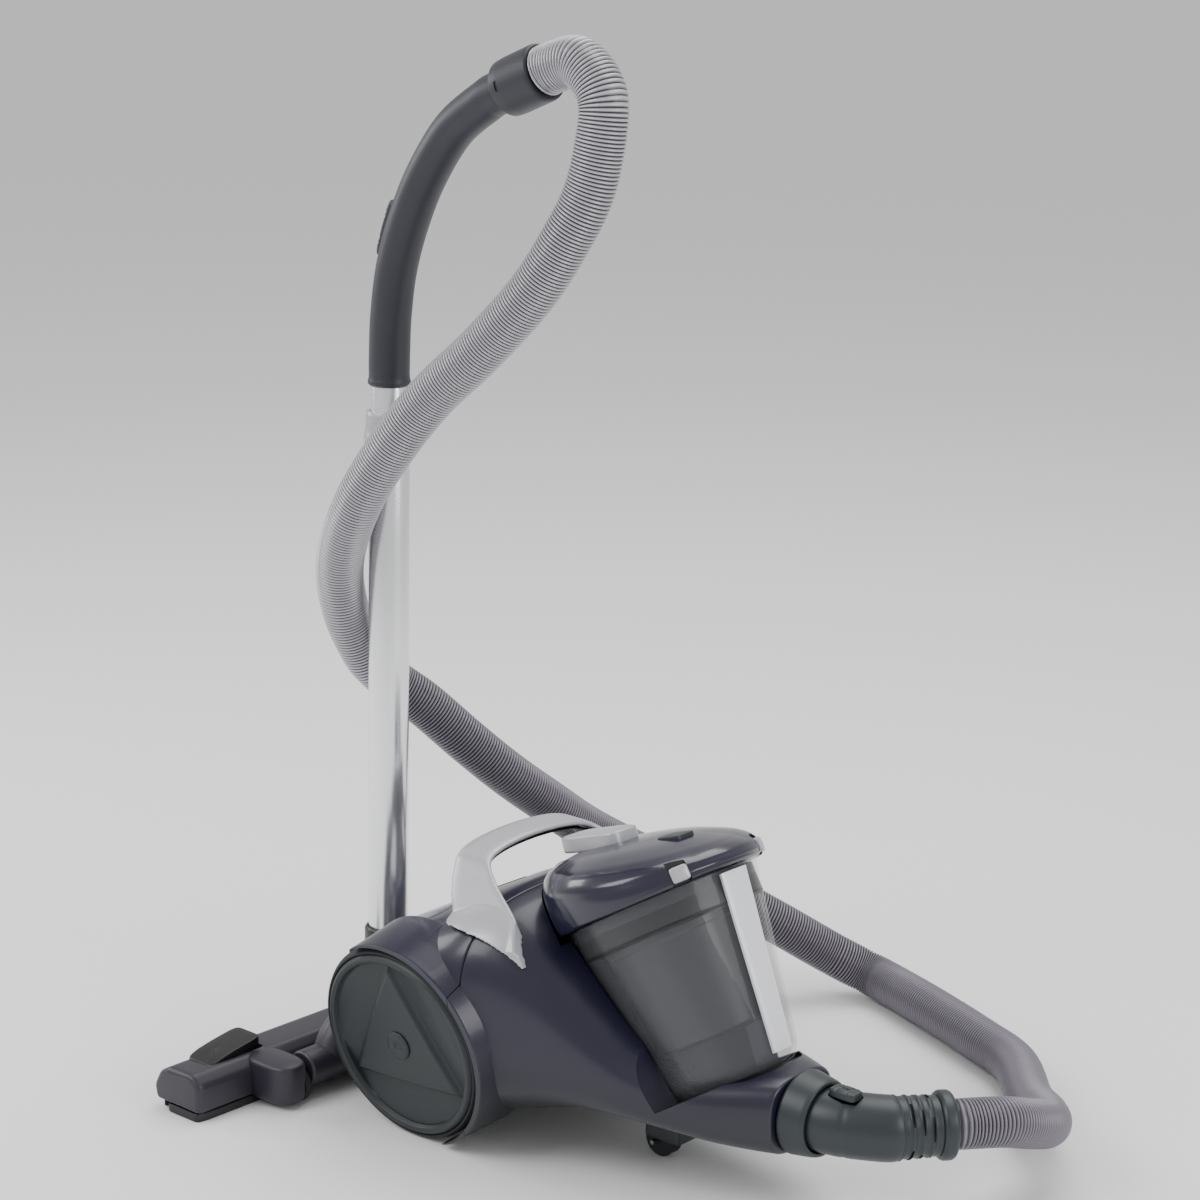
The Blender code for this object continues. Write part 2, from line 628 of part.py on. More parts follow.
def build_carry_handle():
    """Silver arch whose wide legs lie on the body's shoulders, with a dark liner inside."""
    leg = [(0.1290, 0.172, 0.085, 0.132), (0.1180, 0.196, 0.048, 0.122), (0.1010, 0.218, 0.020, 0.096),
           (0.0840, 0.237, 0.006, 0.058), (0.0700, 0.2500, 0.0, 0.038), (0.0450, 0.2580, 0.0, 0.034)]
    crown = (0.0, 0.2610, 0.0, 0.033)
    stations = [(-y, z, x0, x1) for y, z, x0, x1 in leg] + [crown] + leg[::-1]
    silver = arch("carry_handle", stations, 0.0, 0.0062, "silver")
    liner = arch("handle_liner", stations[3:-3], -0.0068, 0.0030, "black", 0.004)
    skin = body_solid("handle_skin", inset=-HANDLE_SKIN, cutter=True)
    cut(skin, box("between_legs", (-0.3, -0.098, 0.0), (0.5, 0.098, 0.4), cutter=True))
    cut(silver, skin, "UNION")
    turn = Matrix(((1, 0, 0), (0, 0, -1), (0, 1, 0)))
    cut(silver, plate("handle_outline", HANDLE_OUTLINE, 0.5, cutter=True, turn=turn), "INTERSECT")
    grown = body_solid("grown_body", inset=-0.0004, cutter=True)
    cut(silver, grown)
    cut(liner, grown)
    cut(silver, bin_space_cutter(0.0030, "handle_bin_room"))
    smooth(silver)
    smooth(liner)


# Side view (X, Z) that trims the carry handle's legs to their pointed shape.
HANDLE_SKIN = 0.0042
HANDLE_OUTLINE = [
    (-0.020, 0.300), (-0.020, 0.240), (0.004, 0.236), (0.0304, 0.2032), (0.050, 0.2048), (0.072, 0.2034),
    (0.088, 0.1995), (0.102, 0.1938), (0.112, 0.1885), (0.121, 0.1815), (0.110, 0.1960), (0.098, 0.2130),
    (0.089, 0.2290), (0.080, 0.2450), (0.070, 0.3000),
]


def arch(name, stations, offset, thickness, finish, narrow=0.0):
    """Sections square to the arch line in the YZ plane, each spanning x0 to x1."""
    sections = []
    last = len(stations) - 1
    for index, (y, z, x0, x1) in enumerate(stations):
        before = stations[max(index - 1, 0)]
        after = stations[min(index + 1, last)]
        along = Vector((0.0, after[0] - before[0], after[1] - before[1])).normalized()
        out = Vector((0.0, -along.z, along.y))
        outer = Vector((0.0, y, z)) + out * offset
        inner = outer - out * thickness
        sections.append([(x0 + narrow, outer.y, outer.z), (x1 - narrow, outer.y, outer.z),
                         (x1 - narrow, inner.y, inner.z), (x0 + narrow, inner.y, inner.z)])
    return loft(name, sections, finish)


def build_rear_fittings():
    grown = bpy.data.objects["grown_body"]
    bracket = box("parking_bracket", (-0.142, WAND_Y - 0.030, 0.104), (-0.084, WAND_Y + 0.030, 0.121),
                  "black", 0.003, 2)
    cut(bracket, grown)
    slot = turned("bracket_bore", [(0.0, 0.2), (0.0225, 0.2), (0.0225, 0.05), (0.0, 0.05)], 28,
                  at=(WAND_X, WAND_Y, 0.0), axis=(0, 0, 1), cutter=True)
    cut(bracket, slot)
    cut(bracket, box("bracket_mouth", (-0.16, WAND_Y - 0.0222, 0.05), (WAND_X, WAND_Y + 0.0222, 0.2),
                     cutter=True))
    gland = [(0.0, 0.104), (0.0085, 0.104), (0.0110, 0.1005), (0.0110, 0.0925), (0.0, 0.0925)]
    outlet = turned("cord_outlet", gland, 20, "black", (0.0, 0.032, 0.094), (-1, 0, 0))
    cut(outlet, grown)
    cut(outlet, turned("cord_hole", [(0.0, 0.12), (0.0042, 0.12), (0.0042, 0.097), (0.0, 0.097)], 12,
                       at=(0.0, 0.032, 0.094), axis=(-1, 0, 0), cutter=True))


# ---------------------------------------------------------------- dust bin

def bin_radius(height):
    return BIN_FOOT_RADIUS + (BIN_TOP_RADIUS - BIN_FOOT_RADIUS) * height / BIN_HEIGHT


def bin_turned(name, profile, steps, finish, cutter=False, ring=False):
    return turned(name, profile, steps, finish, BIN_FOOT, bin_up, cutter, ring)


def build_bin():
    top = BIN_HEIGHT - GAP
    foot = bin_radius(0.0)
    shell = [(0.0, BIN_WALL), (foot - 0.011, BIN_WALL), (bin_radius(0.012) - BIN_WALL, 0.013),
             (bin_radius(top) - BIN_WALL, top), (bin_radius(top), top), (bin_radius(0.012), 0.012),
             (foot - 0.003, 0.003), (foot - 0.010, 0.0), (0.0, 0.0)]
    bin_turned("bin_shell", shell, 36, "clear")
    strip_sections = []
    for index in range(7):
        height = 0.014 + index * 0.0250
        reach = bin_radius(height)
        section = []
        for degree, lift in ((-13, 0.0005), (-13, 0.0034), (0, 0.0046), (13, 0.0034), (13, 0.0005),
                             (0, 0.0005)):
            angle = math.radians(degree)
            radius = reach + lift
            section.append((radius * math.cos(angle), radius * math.sin(angle), height))
        strip_sections.append(section)
    strip = loft("bin_front_strip", strip_sections, "white", at=BIN_FOOT, turn=BIN_TURN)
    smooth(strip)
    shroud = [(0.0, 0.1620), (0.0560, 0.1620), (0.0560, 0.1520), (0.0500, 0.1500), (0.0440, 0.0500),
              (0.0480, 0.0440), (0.0480, 0.0410), (0.0, 0.0410)]
    bin_turned("cyclone_shroud", shroud, 32, "black")
    seal = [(bin_radius(0.16) - 0.0031, 0.1665), (bin_radius(0.16) - 0.0031, 0.1625),
            (bin_radius(0.16) - 0.0085, 0.1625), (bin_radius(0.16) - 0.0085, 0.1665)]
    bin_turned("bin_seal", seal, 32, "rubber", ring=True)


def lid_ring(scale, height, tilt, sides=36):
    """Ring of the lid: its plane turns towards level by tilt as it rises."""
    points = []
    for index in range(sides):
        angle = 2.0 * math.pi * index / sides
        forward = LID_RADIUS * scale * math.cos(angle)
        side = LID_RADIUS * scale * math.sin(angle)
        points.append((forward, side, height - tilt * forward))
    return points


LID_BASE = BIN_HEIGHT + GAP
LID_TOP = bin_point(0.0, 0.0, LID_BASE + LID_CROWN)
LID_TURN = turn_to(bin_up + bin_front * LID_SLOPE, bin_front)


def lid_box(name, low, high, finish=None, bevel=0.0, cutter=False):
    """Box on the lid's crown: local Z stands off its sloping top, local X runs forward."""
    return box(name, low, high, finish, bevel, 2, cutter, LID_TOP, LID_TURN)


def build_lid():
    sections = [lid_ring(0.985, LID_BASE, 0.0), lid_ring(1.0, LID_BASE + 0.004, 0.01),
                lid_ring(1.0, LID_BASE + 0.022, 0.14), lid_ring(0.955, LID_BASE + 0.034, 0.20),
                lid_ring(0.80, LID_BASE + 0.044, 0.24), lid_ring(0.55, LID_BASE + 0.050, LID_SLOPE),
                lid_ring(0.25, LID_BASE + LID_CROWN, LID_SLOPE)]
    lid = loft("bin_lid", sections, "navy", at=BIN_FOOT, turn=BIN_TURN)
    hollow = [(0.0, LID_BASE + 0.006), (0.070, LID_BASE + 0.006), (0.070, LID_BASE - 0.004),
              (0.0, LID_BASE - 0.004)]
    cut(lid, turned("lid_hollow", hollow, 32, at=BIN_FOOT, axis=bin_up, cutter=True))
    cut(lid, lid_box("lid_button_room", (0.0300, -0.0125, -0.0100), (0.0560, 0.0125, 0.030), cutter=True))
    lid_box("bin_release_button", (0.0304, -0.0121, -0.0068), (0.0556, 0.0121, 0.0006), "charcoal", 0.0012)
    for side, label in ((-1, "right"), (1, "left")):
        cut(lid, latch_box("latch_pocket_" + label, side, True))
        latch_box("lid_latch_" + label, side, False)
    handle = lid_box("bin_handle", (-0.078, -0.020, 0.0050), (-0.010, 0.020, 0.0115), "silver", 0.0025)
    foot = lid_box("bin_handle_foot", (-0.060, -0.013, -0.0120), (-0.044, 0.013, 0.0080), cutter=True)
    cut(handle, foot, "UNION")
    cut(lid,
        lid_box("bin_handle_room", (-0.0603, -0.0133, -0.0123), (-0.0437, 0.0133, 0.0300), cutter=True))
    smooth(lid)


LATCH_ANGLE = math.radians(34.0)
LATCH_SIZE = (0.0075, 0.016, 0.013)
LATCH_TOP = 0.015


def latch_box(name, side, cutter):
    """Clip on the lid's edge, hung from its inner top edge; the cutter is its roomier pocket."""
    angle = LATCH_ANGLE * side
    outward = bin_front * math.cos(angle) + Vector((0.0, math.sin(angle), 0.0))
    hinge = BIN_FOOT + outward * (LID_RADIUS - 0.0045) + bin_up * (BIN_HEIGHT + LATCH_TOP)
    depth, width, height = LATCH_SIZE
    turn = turn_to(bin_up, outward)
    if cutter:
        return box(name, (-0.0006, -width / 2.0 - 0.0006, -height - 0.006),
                   (depth + 0.012, width / 2.0 + 0.0006, 0.012),
                   cutter=True, at=hinge, turn=turn)
    return box(name, (0.0, -width / 2.0, -height), (depth, width / 2.0, 0.0), "silver", 0.0012, 1,
               at=hinge, turn=turn)


# ---------------------------------------------------------------- inlet and connector

def build_connector():
    collar = [(0.0320, 0.3540), (0.0335, 0.3500), (0.0365, 0.3310), (0.0355, 0.3287), (0.0289, 0.3287),
              (0.0289, 0.3540)]
    turned("inlet_socket", collar, 36, "charcoal", (0.0, 0.0, INLET_Z), (1, 0, 0), ring=True)
    end = Vector(CONNECTOR_ROUTE[-1])
    line = smooth_route(CONNECTOR_ROUTE[:-1] + [end - SLEEVE_DIRECTION * 0.007], 0.0125) + [end]
    elbow = rod("hose_connector", line, CONNECTOR_RADIUS, "charcoal", 4, as_mesh=True)
    smooth(elbow)
    passage = rod("connector_passage",
                  [Vector((0.29, 0.0, 0.0845))] + line + [end + SLEEVE_DIRECTION * 0.01],
                  0.0215, resolution=3, cutter=True)
    cut(elbow, passage)
    seat = box("connector_button_seat", (0.3590, -0.0085, 0.1070), (0.3860, 0.0085, 0.130), cutter=True)
    cut(elbow, seat)
    box("connector_button", (-0.0130, -0.0080, 0.0), (0.0130, 0.0080, 0.0075), "charcoal", 0.0018, 2,
        at=(0.3725, 0.0, 0.1092))
    start = end + SLEEVE_DIRECTION * GAP
    sleeve = [(0.0262, 0.0), (0.0266, 0.0030), (0.0258, SLEEVE_LENGTH - 0.003), (0.0250, SLEEVE_LENGTH),
              (0.0222, SLEEVE_LENGTH), (0.0218, 0.0)]
    turned("hose_sleeve", [(r, -h) for r, h in sleeve], 28, "charcoal", start, -SLEEVE_DIRECTION,
           ring=True)
    ring_start = start + SLEEVE_DIRECTION * (SLEEVE_LENGTH + GAP)
    ring = [(0.0275, 0.0), (0.0290, 0.0025), (0.0290, RING_LENGTH - 0.0025), (0.0275, RING_LENGTH),
            (0.0170, RING_LENGTH), (0.0170, 0.0)]
    turned("connector_ring", [(r, -h) for r, h in ring], 32, "charcoal", ring_start, -SLEEVE_DIRECTION,
           ring=True)


# ---------------------------------------------------------------- wand and handle

def wand_turned(name, profile, steps, finish, cutter=False, ring=True):
    return turned(name, profile, steps, finish, (WAND_X, WAND_Y, 0.0), (0, 0, 1), cutter, ring)


def build_wand():
    inside = LOWER_TUBE_RADIUS - TUBE_WALL
    shoulder = TUBE_SHOULDER_Z + GAP
    wand_turned("lower_tube",
                pipe_profile(LOWER_TUBE_RADIUS, inside, TUBE_SHOULDER_Z, WAND_FOOT_Z + 0.012), 32,
                "aluminium")
    wand_turned("upper_tube", pipe_profile(UPPER_TUBE_RADIUS, UPPER_TUBE_RADIUS - TUBE_WALL,
                                           GRIP_FOOT_Z + 0.016, UPPER_TUBE_FOOT_Z), 32, "aluminium")
    low, high = COLLAR_Z
    collar = [(0.0200, high), (0.0215, high - 0.004), (0.0220, low + 0.006), (0.0205, low),
              (LOWER_TUBE_RADIUS + GAP, low), (LOWER_TUBE_RADIUS + GAP, shoulder),
              (UPPER_TUBE_RADIUS + GAP, shoulder), (UPPER_TUBE_RADIUS + GAP, high)]
    shell = wand_turned("telescopic_collar", collar, 32, "black")
    cut(shell, box("latch_seat", (-0.030, -0.0065, low + 0.0050), (-0.0195, 0.0065, low + 0.0275),
                   cutter=True, at=(WAND_X, WAND_Y, 0.0)))
    box("tube_latch", (-0.0040, -0.0060, 0.0), (0.0015, 0.0060, 0.0160), "black", 0.001, 1,
        at=(WAND_X - 0.0215, WAND_Y, low + 0.0110))


GRIP_ROUTE = [
    (WAND_X, GRIP_FOOT_Z), (-0.1198, 0.6650), (-0.1180, 0.7000), (-0.1115, 0.7400), (-0.0975, 0.7810),
    (-0.0760, 0.8230), (-0.0440, 0.8640), (-0.0060, 0.8905), (0.0144, 0.9002),
]
GRIP_END = Vector((GRIP_ROUTE[-1][0], WAND_Y, GRIP_ROUTE[-1][1]))
CUFF_AXIS = Vector((0.927, 0.0, 0.375)).normalized()
CUFF_LENGTH = 0.046
CUFF_LIFT = 0.0006
SLIDER_PLACE = (-0.1020, WAND_Y, 0.7680)
SLIDER_TURN = turn_to((0.330, 0.0, 0.944), (0.944, 0.0, -0.330))


def build_grip():
    points = [Vector((x, WAND_Y, z)) for x, z in GRIP_ROUTE[:-1]] + [GRIP_END - CUFF_AXIS * 0.010]
    route = smooth_route(points, 0.020) + [GRIP_END]
    grip = rod("handle_grip", route, GRIP_RADIUS, "grip", 5, as_mesh=True)
    tube_end = Vector((WAND_X, WAND_Y, GRIP_FOOT_Z + 0.0165))
    fit = UPPER_TUBE_RADIUS + GAP
    cut(grip,
        wand_turned("grip_bore", [(0.0, tube_end.z), (fit, tube_end.z), (fit, 0.60), (0.0, 0.60)], 32,
                          None, True, False))
    air = rod("grip_airway",
              [tube_end - Vector((0.0, 0.0, 0.010))] + route[1:] + [route[-1] + CUFF_AXIS * 0.01],
              0.0140, resolution=3, cutter=True)
    cut(grip, air)
    cut(grip, box("slider_seat", (-0.0230, -0.0075, -0.0345), (-0.0165, 0.0075, 0.0345), cutter=True,
                  at=SLIDER_PLACE, turn=SLIDER_TURN))
    smooth(grip)
    box("suction_slider", (-0.0228, -0.0070, -0.0260), (-0.0170, 0.0070, 0.0260), "grip", 0.0018, 2,
        at=SLIDER_PLACE, turn=SLIDER_TURN)
    cuff = [(0.0212, 0.0), (0.0245, 0.0040), (CUFF_RADIUS, CUFF_LENGTH - 0.002), (0.0235, CUFF_LENGTH),
            (0.0150, CUFF_LENGTH),
            (0.0150, 0.0)]
    turned("swivel_cuff", [(r, -h) for r, h in cuff], 32, "grip", GRIP_END + CUFF_AXIS * CUFF_LIFT,
           -CUFF_AXIS,
           ring=True)


# ---------------------------------------------------------------- nozzle

def build_nozzle():
    x0, x1 = NOZZLE_X
    y0 = NOZZLE_Y - NOZZLE_LENGTH / 2.0
    y1 = NOZZLE_Y + NOZZLE_LENGTH / 2.0
    outline = [(x0 + 0.004, 0.0083), (x1, 0.0083), (x1, 0.034), (x1 - 0.010, NOZZLE_TOP),
               (x0 + 0.020, NOZZLE_TOP - 0.001), (x0 + 0.008, 0.035), (x0 + 0.001, 0.021)]
    turn = Matrix(((1, 0, 0), (0, 0, -1), (0, 1, 0)))
    outline = [(x - BARREL_X, z - BARREL_Z) for x, z in outline]
    body = plate("nozzle_body", outline, NOZZLE_LENGTH, "mauve", (BARREL_X, NOZZLE_Y, BARREL_Z), turn)
    saddle = box("nozzle_saddle", (x1 - 0.028, NOZZLE_Y - 0.034, 0.010),
                 (BARREL_X - 0.004, NOZZLE_Y + 0.034, 0.030),
                 cutter=True)
    cut(body, saddle, "UNION")
    barrel_room = turned("barrel_room", [(0.0, 0.2), (0.0180, 0.2), (0.0180, -0.2), (0.0, -0.2)], 28,
                         at=(BARREL_X, NOZZLE_Y, BARREL_Z), axis=(0, 1, 0), cutter=True)
    cut(body, barrel_room)
    pedal_room = box("pedal_room", (-0.2015, NOZZLE_Y - 0.1115, 0.030),
                     (-0.1665, NOZZLE_Y - 0.0445, 0.080),
                     cutter=True)
    cut(body, pedal_room)
    shaft_room = box("brush_room", (x0 + 0.007, y0 + 0.004, -0.01), (x0 + 0.015, y1 - 0.004, 0.0180),
                     cutter=True)
    cut(body, shaft_room)
    soften(body, 0.0015, 1)
    hinge = Vector((BARREL_X, NOZZLE_Y, BARREL_Z))
    sole = box("nozzle_sole", (x0 + 0.0165, y0 + 0.001, 0.0), (x1 - 0.001, y1 - 0.001, 0.0080), "black",
               0.001, 1)
    cut(sole,
        box("suction_mouth", (x0 + 0.022, y0 + 0.016, -0.01), (x0 + 0.036, y1 - 0.016, 0.0045),
            cutter=True))
    rehang(sole, hinge)
    box("brush_strip", (-0.0025, 0.006 - NOZZLE_LENGTH / 2.0, 0.0),
        (0.0025, NOZZLE_LENGTH / 2.0 - 0.006, 0.0113),
        "black", at=(x0 + 0.0110, NOZZLE_Y, 0.0012))
    pedal = plate("nozzle_pedal", [(-0.031, -0.0040), (0.031, 0.0), (0.031, 0.0035), (0.0040, 0.0060),
                                   (-0.031, 0.0040)],
                  0.0330, "black", (-0.1840, NOZZLE_Y - 0.0780, 0.0445),
                  Matrix(((0, 0, 1), (-1, 0, 0), (0, 1, 0))) @ Matrix.Rotation(math.radians(-9.0), 3, "Z"))
    soften(pedal, 0.0008, 1)
    barrel_length = 0.0335
    barrel = [(0.0, barrel_length), (0.0150, barrel_length), (0.0168, barrel_length - 0.002),
              (0.0168, 0.002 - barrel_length), (0.0150, -barrel_length), (0.0, -barrel_length)]
    shaft = turned("neck_barrel", barrel, 24, at=hinge, axis=(0, 1, 0), cutter=True)
    hollow = [Vector((BARREL_X, NOZZLE_Y, BARREL_Z + 0.002)),
              Vector((BARREL_X + 0.001, NOZZLE_Y + 0.010, 0.046)),
              Vector((BARREL_X + 0.004, NOZZLE_Y + 0.029, 0.066)), Vector((BARREL_X + 0.008,
                                                                           NOZZLE_Y + 0.048, 0.080)),
              Vector((WAND_X, WAND_Y - 0.004, 0.094)), Vector((WAND_X, WAND_Y, 0.100))]
    neck = rod("nozzle_neck", smooth_route(hollow, 0.012), 0.0165, "mauve", 4, as_mesh=True)
    rehang(neck, (WAND_X, WAND_Y, 0.0))
    cut(neck, shaft, "UNION")
    socket = turned("neck_socket", [(0.0, 0.1000), (0.0195, 0.1000), (0.0195, 0.0900), (0.0, 0.0900)], 28,
                    at=(WAND_X, WAND_Y, 0.0), axis=(0, 0, 1), cutter=True)
    cut(neck, socket, "UNION")
    foot_z = WAND_FOOT_Z + 0.0117
    cut(neck, turned("neck_foot_room", [(0.0, 0.2), (0.0300, 0.2), (0.0300, foot_z), (0.0, foot_z)], 28,
                     at=(WAND_X, WAND_Y, 0.0), axis=(0, 0, 1), cutter=True))
    collar = pipe_profile(0.0215, 0.0183, 0.1420, 0.1003)
    wand_turned("neck_collar", collar, 28, "black")
    for offset, label in ((-0.0392, "right"), (0.0392, "left")):
        turned("nozzle_roller_" + label, rounded_disc(0.0160, 0.0045, -0.0045, 0.0012), 20, "rubber",
               (BARREL_X, NOZZLE_Y + offset, 0.0160), (0, 1, 0))


# ---------------------------------------------------------------- hose

def hose_route(first, first_way, points, last, last_way):
    """Route whose two ends leave square to their fittings."""
    middle = [first + first_way * HOSE_LEAD] + [Vector(p) for p in points] + [last - last_way * HOSE_LEAD]
    return [first] + smooth_route(middle, HOSE_RADIUS * 1.45) + [last]


def build_hose():
    """One hose, spliced behind the tube because its two halves follow different joints."""
    cuff_end = GRIP_END + CUFF_AXIS * (CUFF_LIFT + CUFF_LENGTH + GAP)
    ring_end = Vector(CONNECTOR_ROUTE[-1]) + SLEEVE_DIRECTION * (SLEEVE_LENGTH + RING_LENGTH + 3.0 * GAP)
    half_gap = HOSE_SPLICE_WAY * (GAP / 2.0)
    upper = hose_route(cuff_end, CUFF_AXIS, HOSE_UPPER, HOSE_SPLICE - half_gap, HOSE_SPLICE_WAY)
    lower = hose_route(HOSE_SPLICE + half_gap, HOSE_SPLICE_WAY, HOSE_LOWER, ring_end, -SLEEVE_DIRECTION)
    rod("hose_upper", upper, HOSE_RADIUS, "hose", 3)
    rod("hose_lower", lower, HOSE_RADIUS, "hose", 3)


build_body()
build_floor_pan()
for wheel_side, wheel_label in ((-1, "right"), (1, "left")):
    build_wheel(wheel_side, wheel_label)
build_caster()
build_motor_room()
build_deck()
build_carry_handle()
build_rear_fittings()
build_bin()
build_lid()
build_connector()
build_wand()
build_grip()
build_nozzle()
build_hose()
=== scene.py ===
import math

import bpy
import numpy as np
from mathutils import Matrix


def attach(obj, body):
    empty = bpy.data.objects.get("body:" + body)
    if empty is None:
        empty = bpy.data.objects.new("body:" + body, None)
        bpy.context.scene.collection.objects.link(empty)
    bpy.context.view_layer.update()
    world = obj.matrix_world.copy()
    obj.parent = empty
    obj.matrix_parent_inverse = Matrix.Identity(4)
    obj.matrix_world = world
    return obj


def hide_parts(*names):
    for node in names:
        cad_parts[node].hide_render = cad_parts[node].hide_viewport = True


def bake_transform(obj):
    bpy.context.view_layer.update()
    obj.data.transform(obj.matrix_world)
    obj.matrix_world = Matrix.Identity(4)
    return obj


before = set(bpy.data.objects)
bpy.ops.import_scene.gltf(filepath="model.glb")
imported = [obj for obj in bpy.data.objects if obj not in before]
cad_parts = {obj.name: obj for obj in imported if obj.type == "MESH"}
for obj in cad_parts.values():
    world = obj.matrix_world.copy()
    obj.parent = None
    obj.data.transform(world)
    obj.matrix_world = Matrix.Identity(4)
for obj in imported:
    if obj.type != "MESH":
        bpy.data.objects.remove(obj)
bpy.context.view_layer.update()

rearAxle = np.array([-0.1213, 0.0414, 0.0])  # every shape below is laid out in metres from the rear axle
halfTurn = math.pi
fullTurn = 2 * halfTurn
level = np.eye(3)  # for a piece that stands square to the floor
bothSides = ((-1, "right"), (1, "left"))


def vec(*values):
    return np.array(values, dtype=float)


def unit(v):
    v = np.asarray(v, dtype=float)
    return v / np.linalg.norm(v)


def around(steps):
    # even angles once round, as one row
    return np.linspace(0.0, fullTurn, steps, endpoint=False)[None, :]


def grid(x, y, z):
    # three arrays stretched to one shape, as points
    return np.stack(np.broadcast_arrays(x, y, z), axis=-1)


def squared(angle, power):
    # the oval |x|^n + |y|^n = 1: sign(cos a) |cos a|^(2/n), and the same with sin
    return [np.sign(f(angle)) * np.abs(f(angle)) ** (2.0 / power) for f in (np.cos, np.sin)]


def frameOf(up, forward=(1.0, 0.0, 0.0)):
    # columns are forward, side and up, with forward made square to up
    up = unit(up)
    ahead = vec(*forward)
    ahead = ahead - up * ahead.dot(up)
    if np.linalg.norm(ahead) < 1e-6:
        ahead = vec(0.0, 1.0, 0.0) - up * up[1]
    ahead = unit(ahead)
    return np.stack([ahead, np.cross(up, ahead), up], axis=1)


def smoothStep(x, low, high):
    # 0 below low, 1 above high, with a soft S between: 3t^2 - 2t^3
    t = np.clip((x - low) / (high - low), 0.0, 1.0)
    return t * t * (3.0 - 2.0 * t)


def through(xs, ys, x):
    # cubic Hermite curve through the points, slopes from central differences
    xs, ys, x = np.asarray(xs, float), np.asarray(ys, float), np.asarray(x, float)
    slopes = np.gradient(ys, xs)
    k = np.clip(np.searchsorted(xs, x) - 1, 0, len(xs) - 2)
    span = xs[k + 1] - xs[k]
    t = np.clip((x - xs[k]) / span, 0.0, 1.0)
    return ((2 * t**3 - 3 * t**2 + 1) * ys[k] + (t**3 - 2 * t**2 + t) * span * slopes[k]
            + (3 * t**2 - 2 * t**3) * ys[k + 1] + (t**3 - t**2) * span * slopes[k + 1])


def route(points, spacing):
    # Catmull-Rom curve through the points, then resampled at even steps of arc length
    p = np.asarray(points, float)
    p = np.vstack([2 * p[0] - p[1], p, 2 * p[-1] - p[-2]])
    t = np.linspace(0.0, 1.0, 40, endpoint=False)[None, :, None]
    a, b, c, d = p[:-3, None], p[1:-2, None], p[2:-1, None], p[3:, None]
    fine = 0.5 * (2 * b + (c - a) * t + (2 * a - 5 * b + 4 * c - d) * t**2 + (3 * b - a - 3 * c + d) * t**3)
    fine = np.vstack([fine.reshape(-1, 3), p[-2]])
    length = np.concatenate([[0.0], np.cumsum(np.linalg.norm(np.diff(fine, axis=0), axis=1))])
    even = np.linspace(0.0, length[-1], max(2, int(round(length[-1] / spacing))) + 1)
    return np.stack([np.interp(even, length, fine[:, axis]) for axis in range(3)], axis=1)


def rounded(points, radius, steps=5, closed=False):
    # each corner B between A and C becomes the curve (1-t)^2 A' + 2t(1-t) B + t^2 C'
    p = np.asarray(points, float)
    before, after = np.roll(p, 1, axis=0), np.roll(p, -1, axis=0)
    towardBefore, towardAfter = before - p, after - p
    lenBefore = np.linalg.norm(towardBefore, axis=1, keepdims=True) + 1e-12
    lenAfter = np.linalg.norm(towardAfter, axis=1, keepdims=True) + 1e-12
    reach = np.minimum(radius, 0.45 * np.minimum(lenBefore, lenAfter))
    start, stop = p + towardBefore / lenBefore * reach, p + towardAfter / lenAfter * reach
    t = np.linspace(0.0, 1.0, steps)[None, :, None]
    arcs = (1 - t) ** 2 * start[:, None] + 2 * t * (1 - t) * p[:, None] + t**2 * stop[:, None]
    if closed:
        return arcs.reshape(-1, p.shape[1])
    return np.vstack([p[:1], arcs[1:-1].reshape(-1, p.shape[1]), p[-1:]])


def meshPiece(name, points, quads, fans, finish, sharp=35.0):
    # quads and fans are index arrays; faces are flipped together if the enclosed volume comes out negative
    points = np.asarray(points, float) + rearAxle
    parts = [np.asarray(f, int) for f in (quads, fans) if f is not None and len(f)]
    tris = np.vstack([f[:, [0, 1, 2]] for f in parts] + [f[:, [0, 2, 3]] for f in parts if f.shape[1] == 4])
    a, b, c = (points[tris[:, k]] for k in range(3))
    if np.einsum("ij,ij->i", a - points.mean(0), np.cross(b - points.mean(0), c - points.mean(0))).sum() < 0:
        parts = [f[:, ::-1] for f in parts]
    corners = np.concatenate([f.ravel() for f in parts])
    sizes = np.concatenate([np.full(len(f), f.shape[1]) for f in parts])
    mesh = bpy.data.meshes.new(name)
    mesh.vertices.add(len(points))
    mesh.vertices.foreach_set("co", points.ravel())
    mesh.loops.add(len(corners))
    mesh.loops.foreach_set("vertex_index", corners)
    mesh.polygons.add(len(sizes))
    mesh.polygons.foreach_set("loop_start", np.concatenate([[0], np.cumsum(sizes)[:-1]]))
    mesh.update(calc_edges=True)
    mesh.validate()
    return dress(name, mesh, finish, sharp)


def dress(name, mesh, finish, sharp):
    # a new object that carries the mesh and one finish
    piece = bpy.data.objects.new(name, smoothed(mesh, sharp))
    bpy.context.scene.collection.objects.link(piece)
    if finish is not None:
        mesh.materials.append(finish)
    return piece


def smoothed(mesh, sharp):
    # smooth shading, with edges steeper than sharp degrees kept crisp
    mesh.shade_smooth()
    mesh.set_sharp_from_angle(angle=math.radians(sharp))
    return mesh


def gridQuads(rows, cols, loop=True, wrap=False):
    # quads between neighbouring rows; loop joins the last column to the first, wrap the last row to the first
    i = np.arange(rows if wrap else rows - 1)[:, None]
    j = np.arange(cols if loop else cols - 1)[None, :]
    nextRow, nextCol = (i + 1) % rows, (j + 1) % cols
    return np.stack([i * cols + j, i * cols + nextCol, nextRow * cols + nextCol, nextRow * cols + j],
                    axis=-1).reshape(-1, 4)


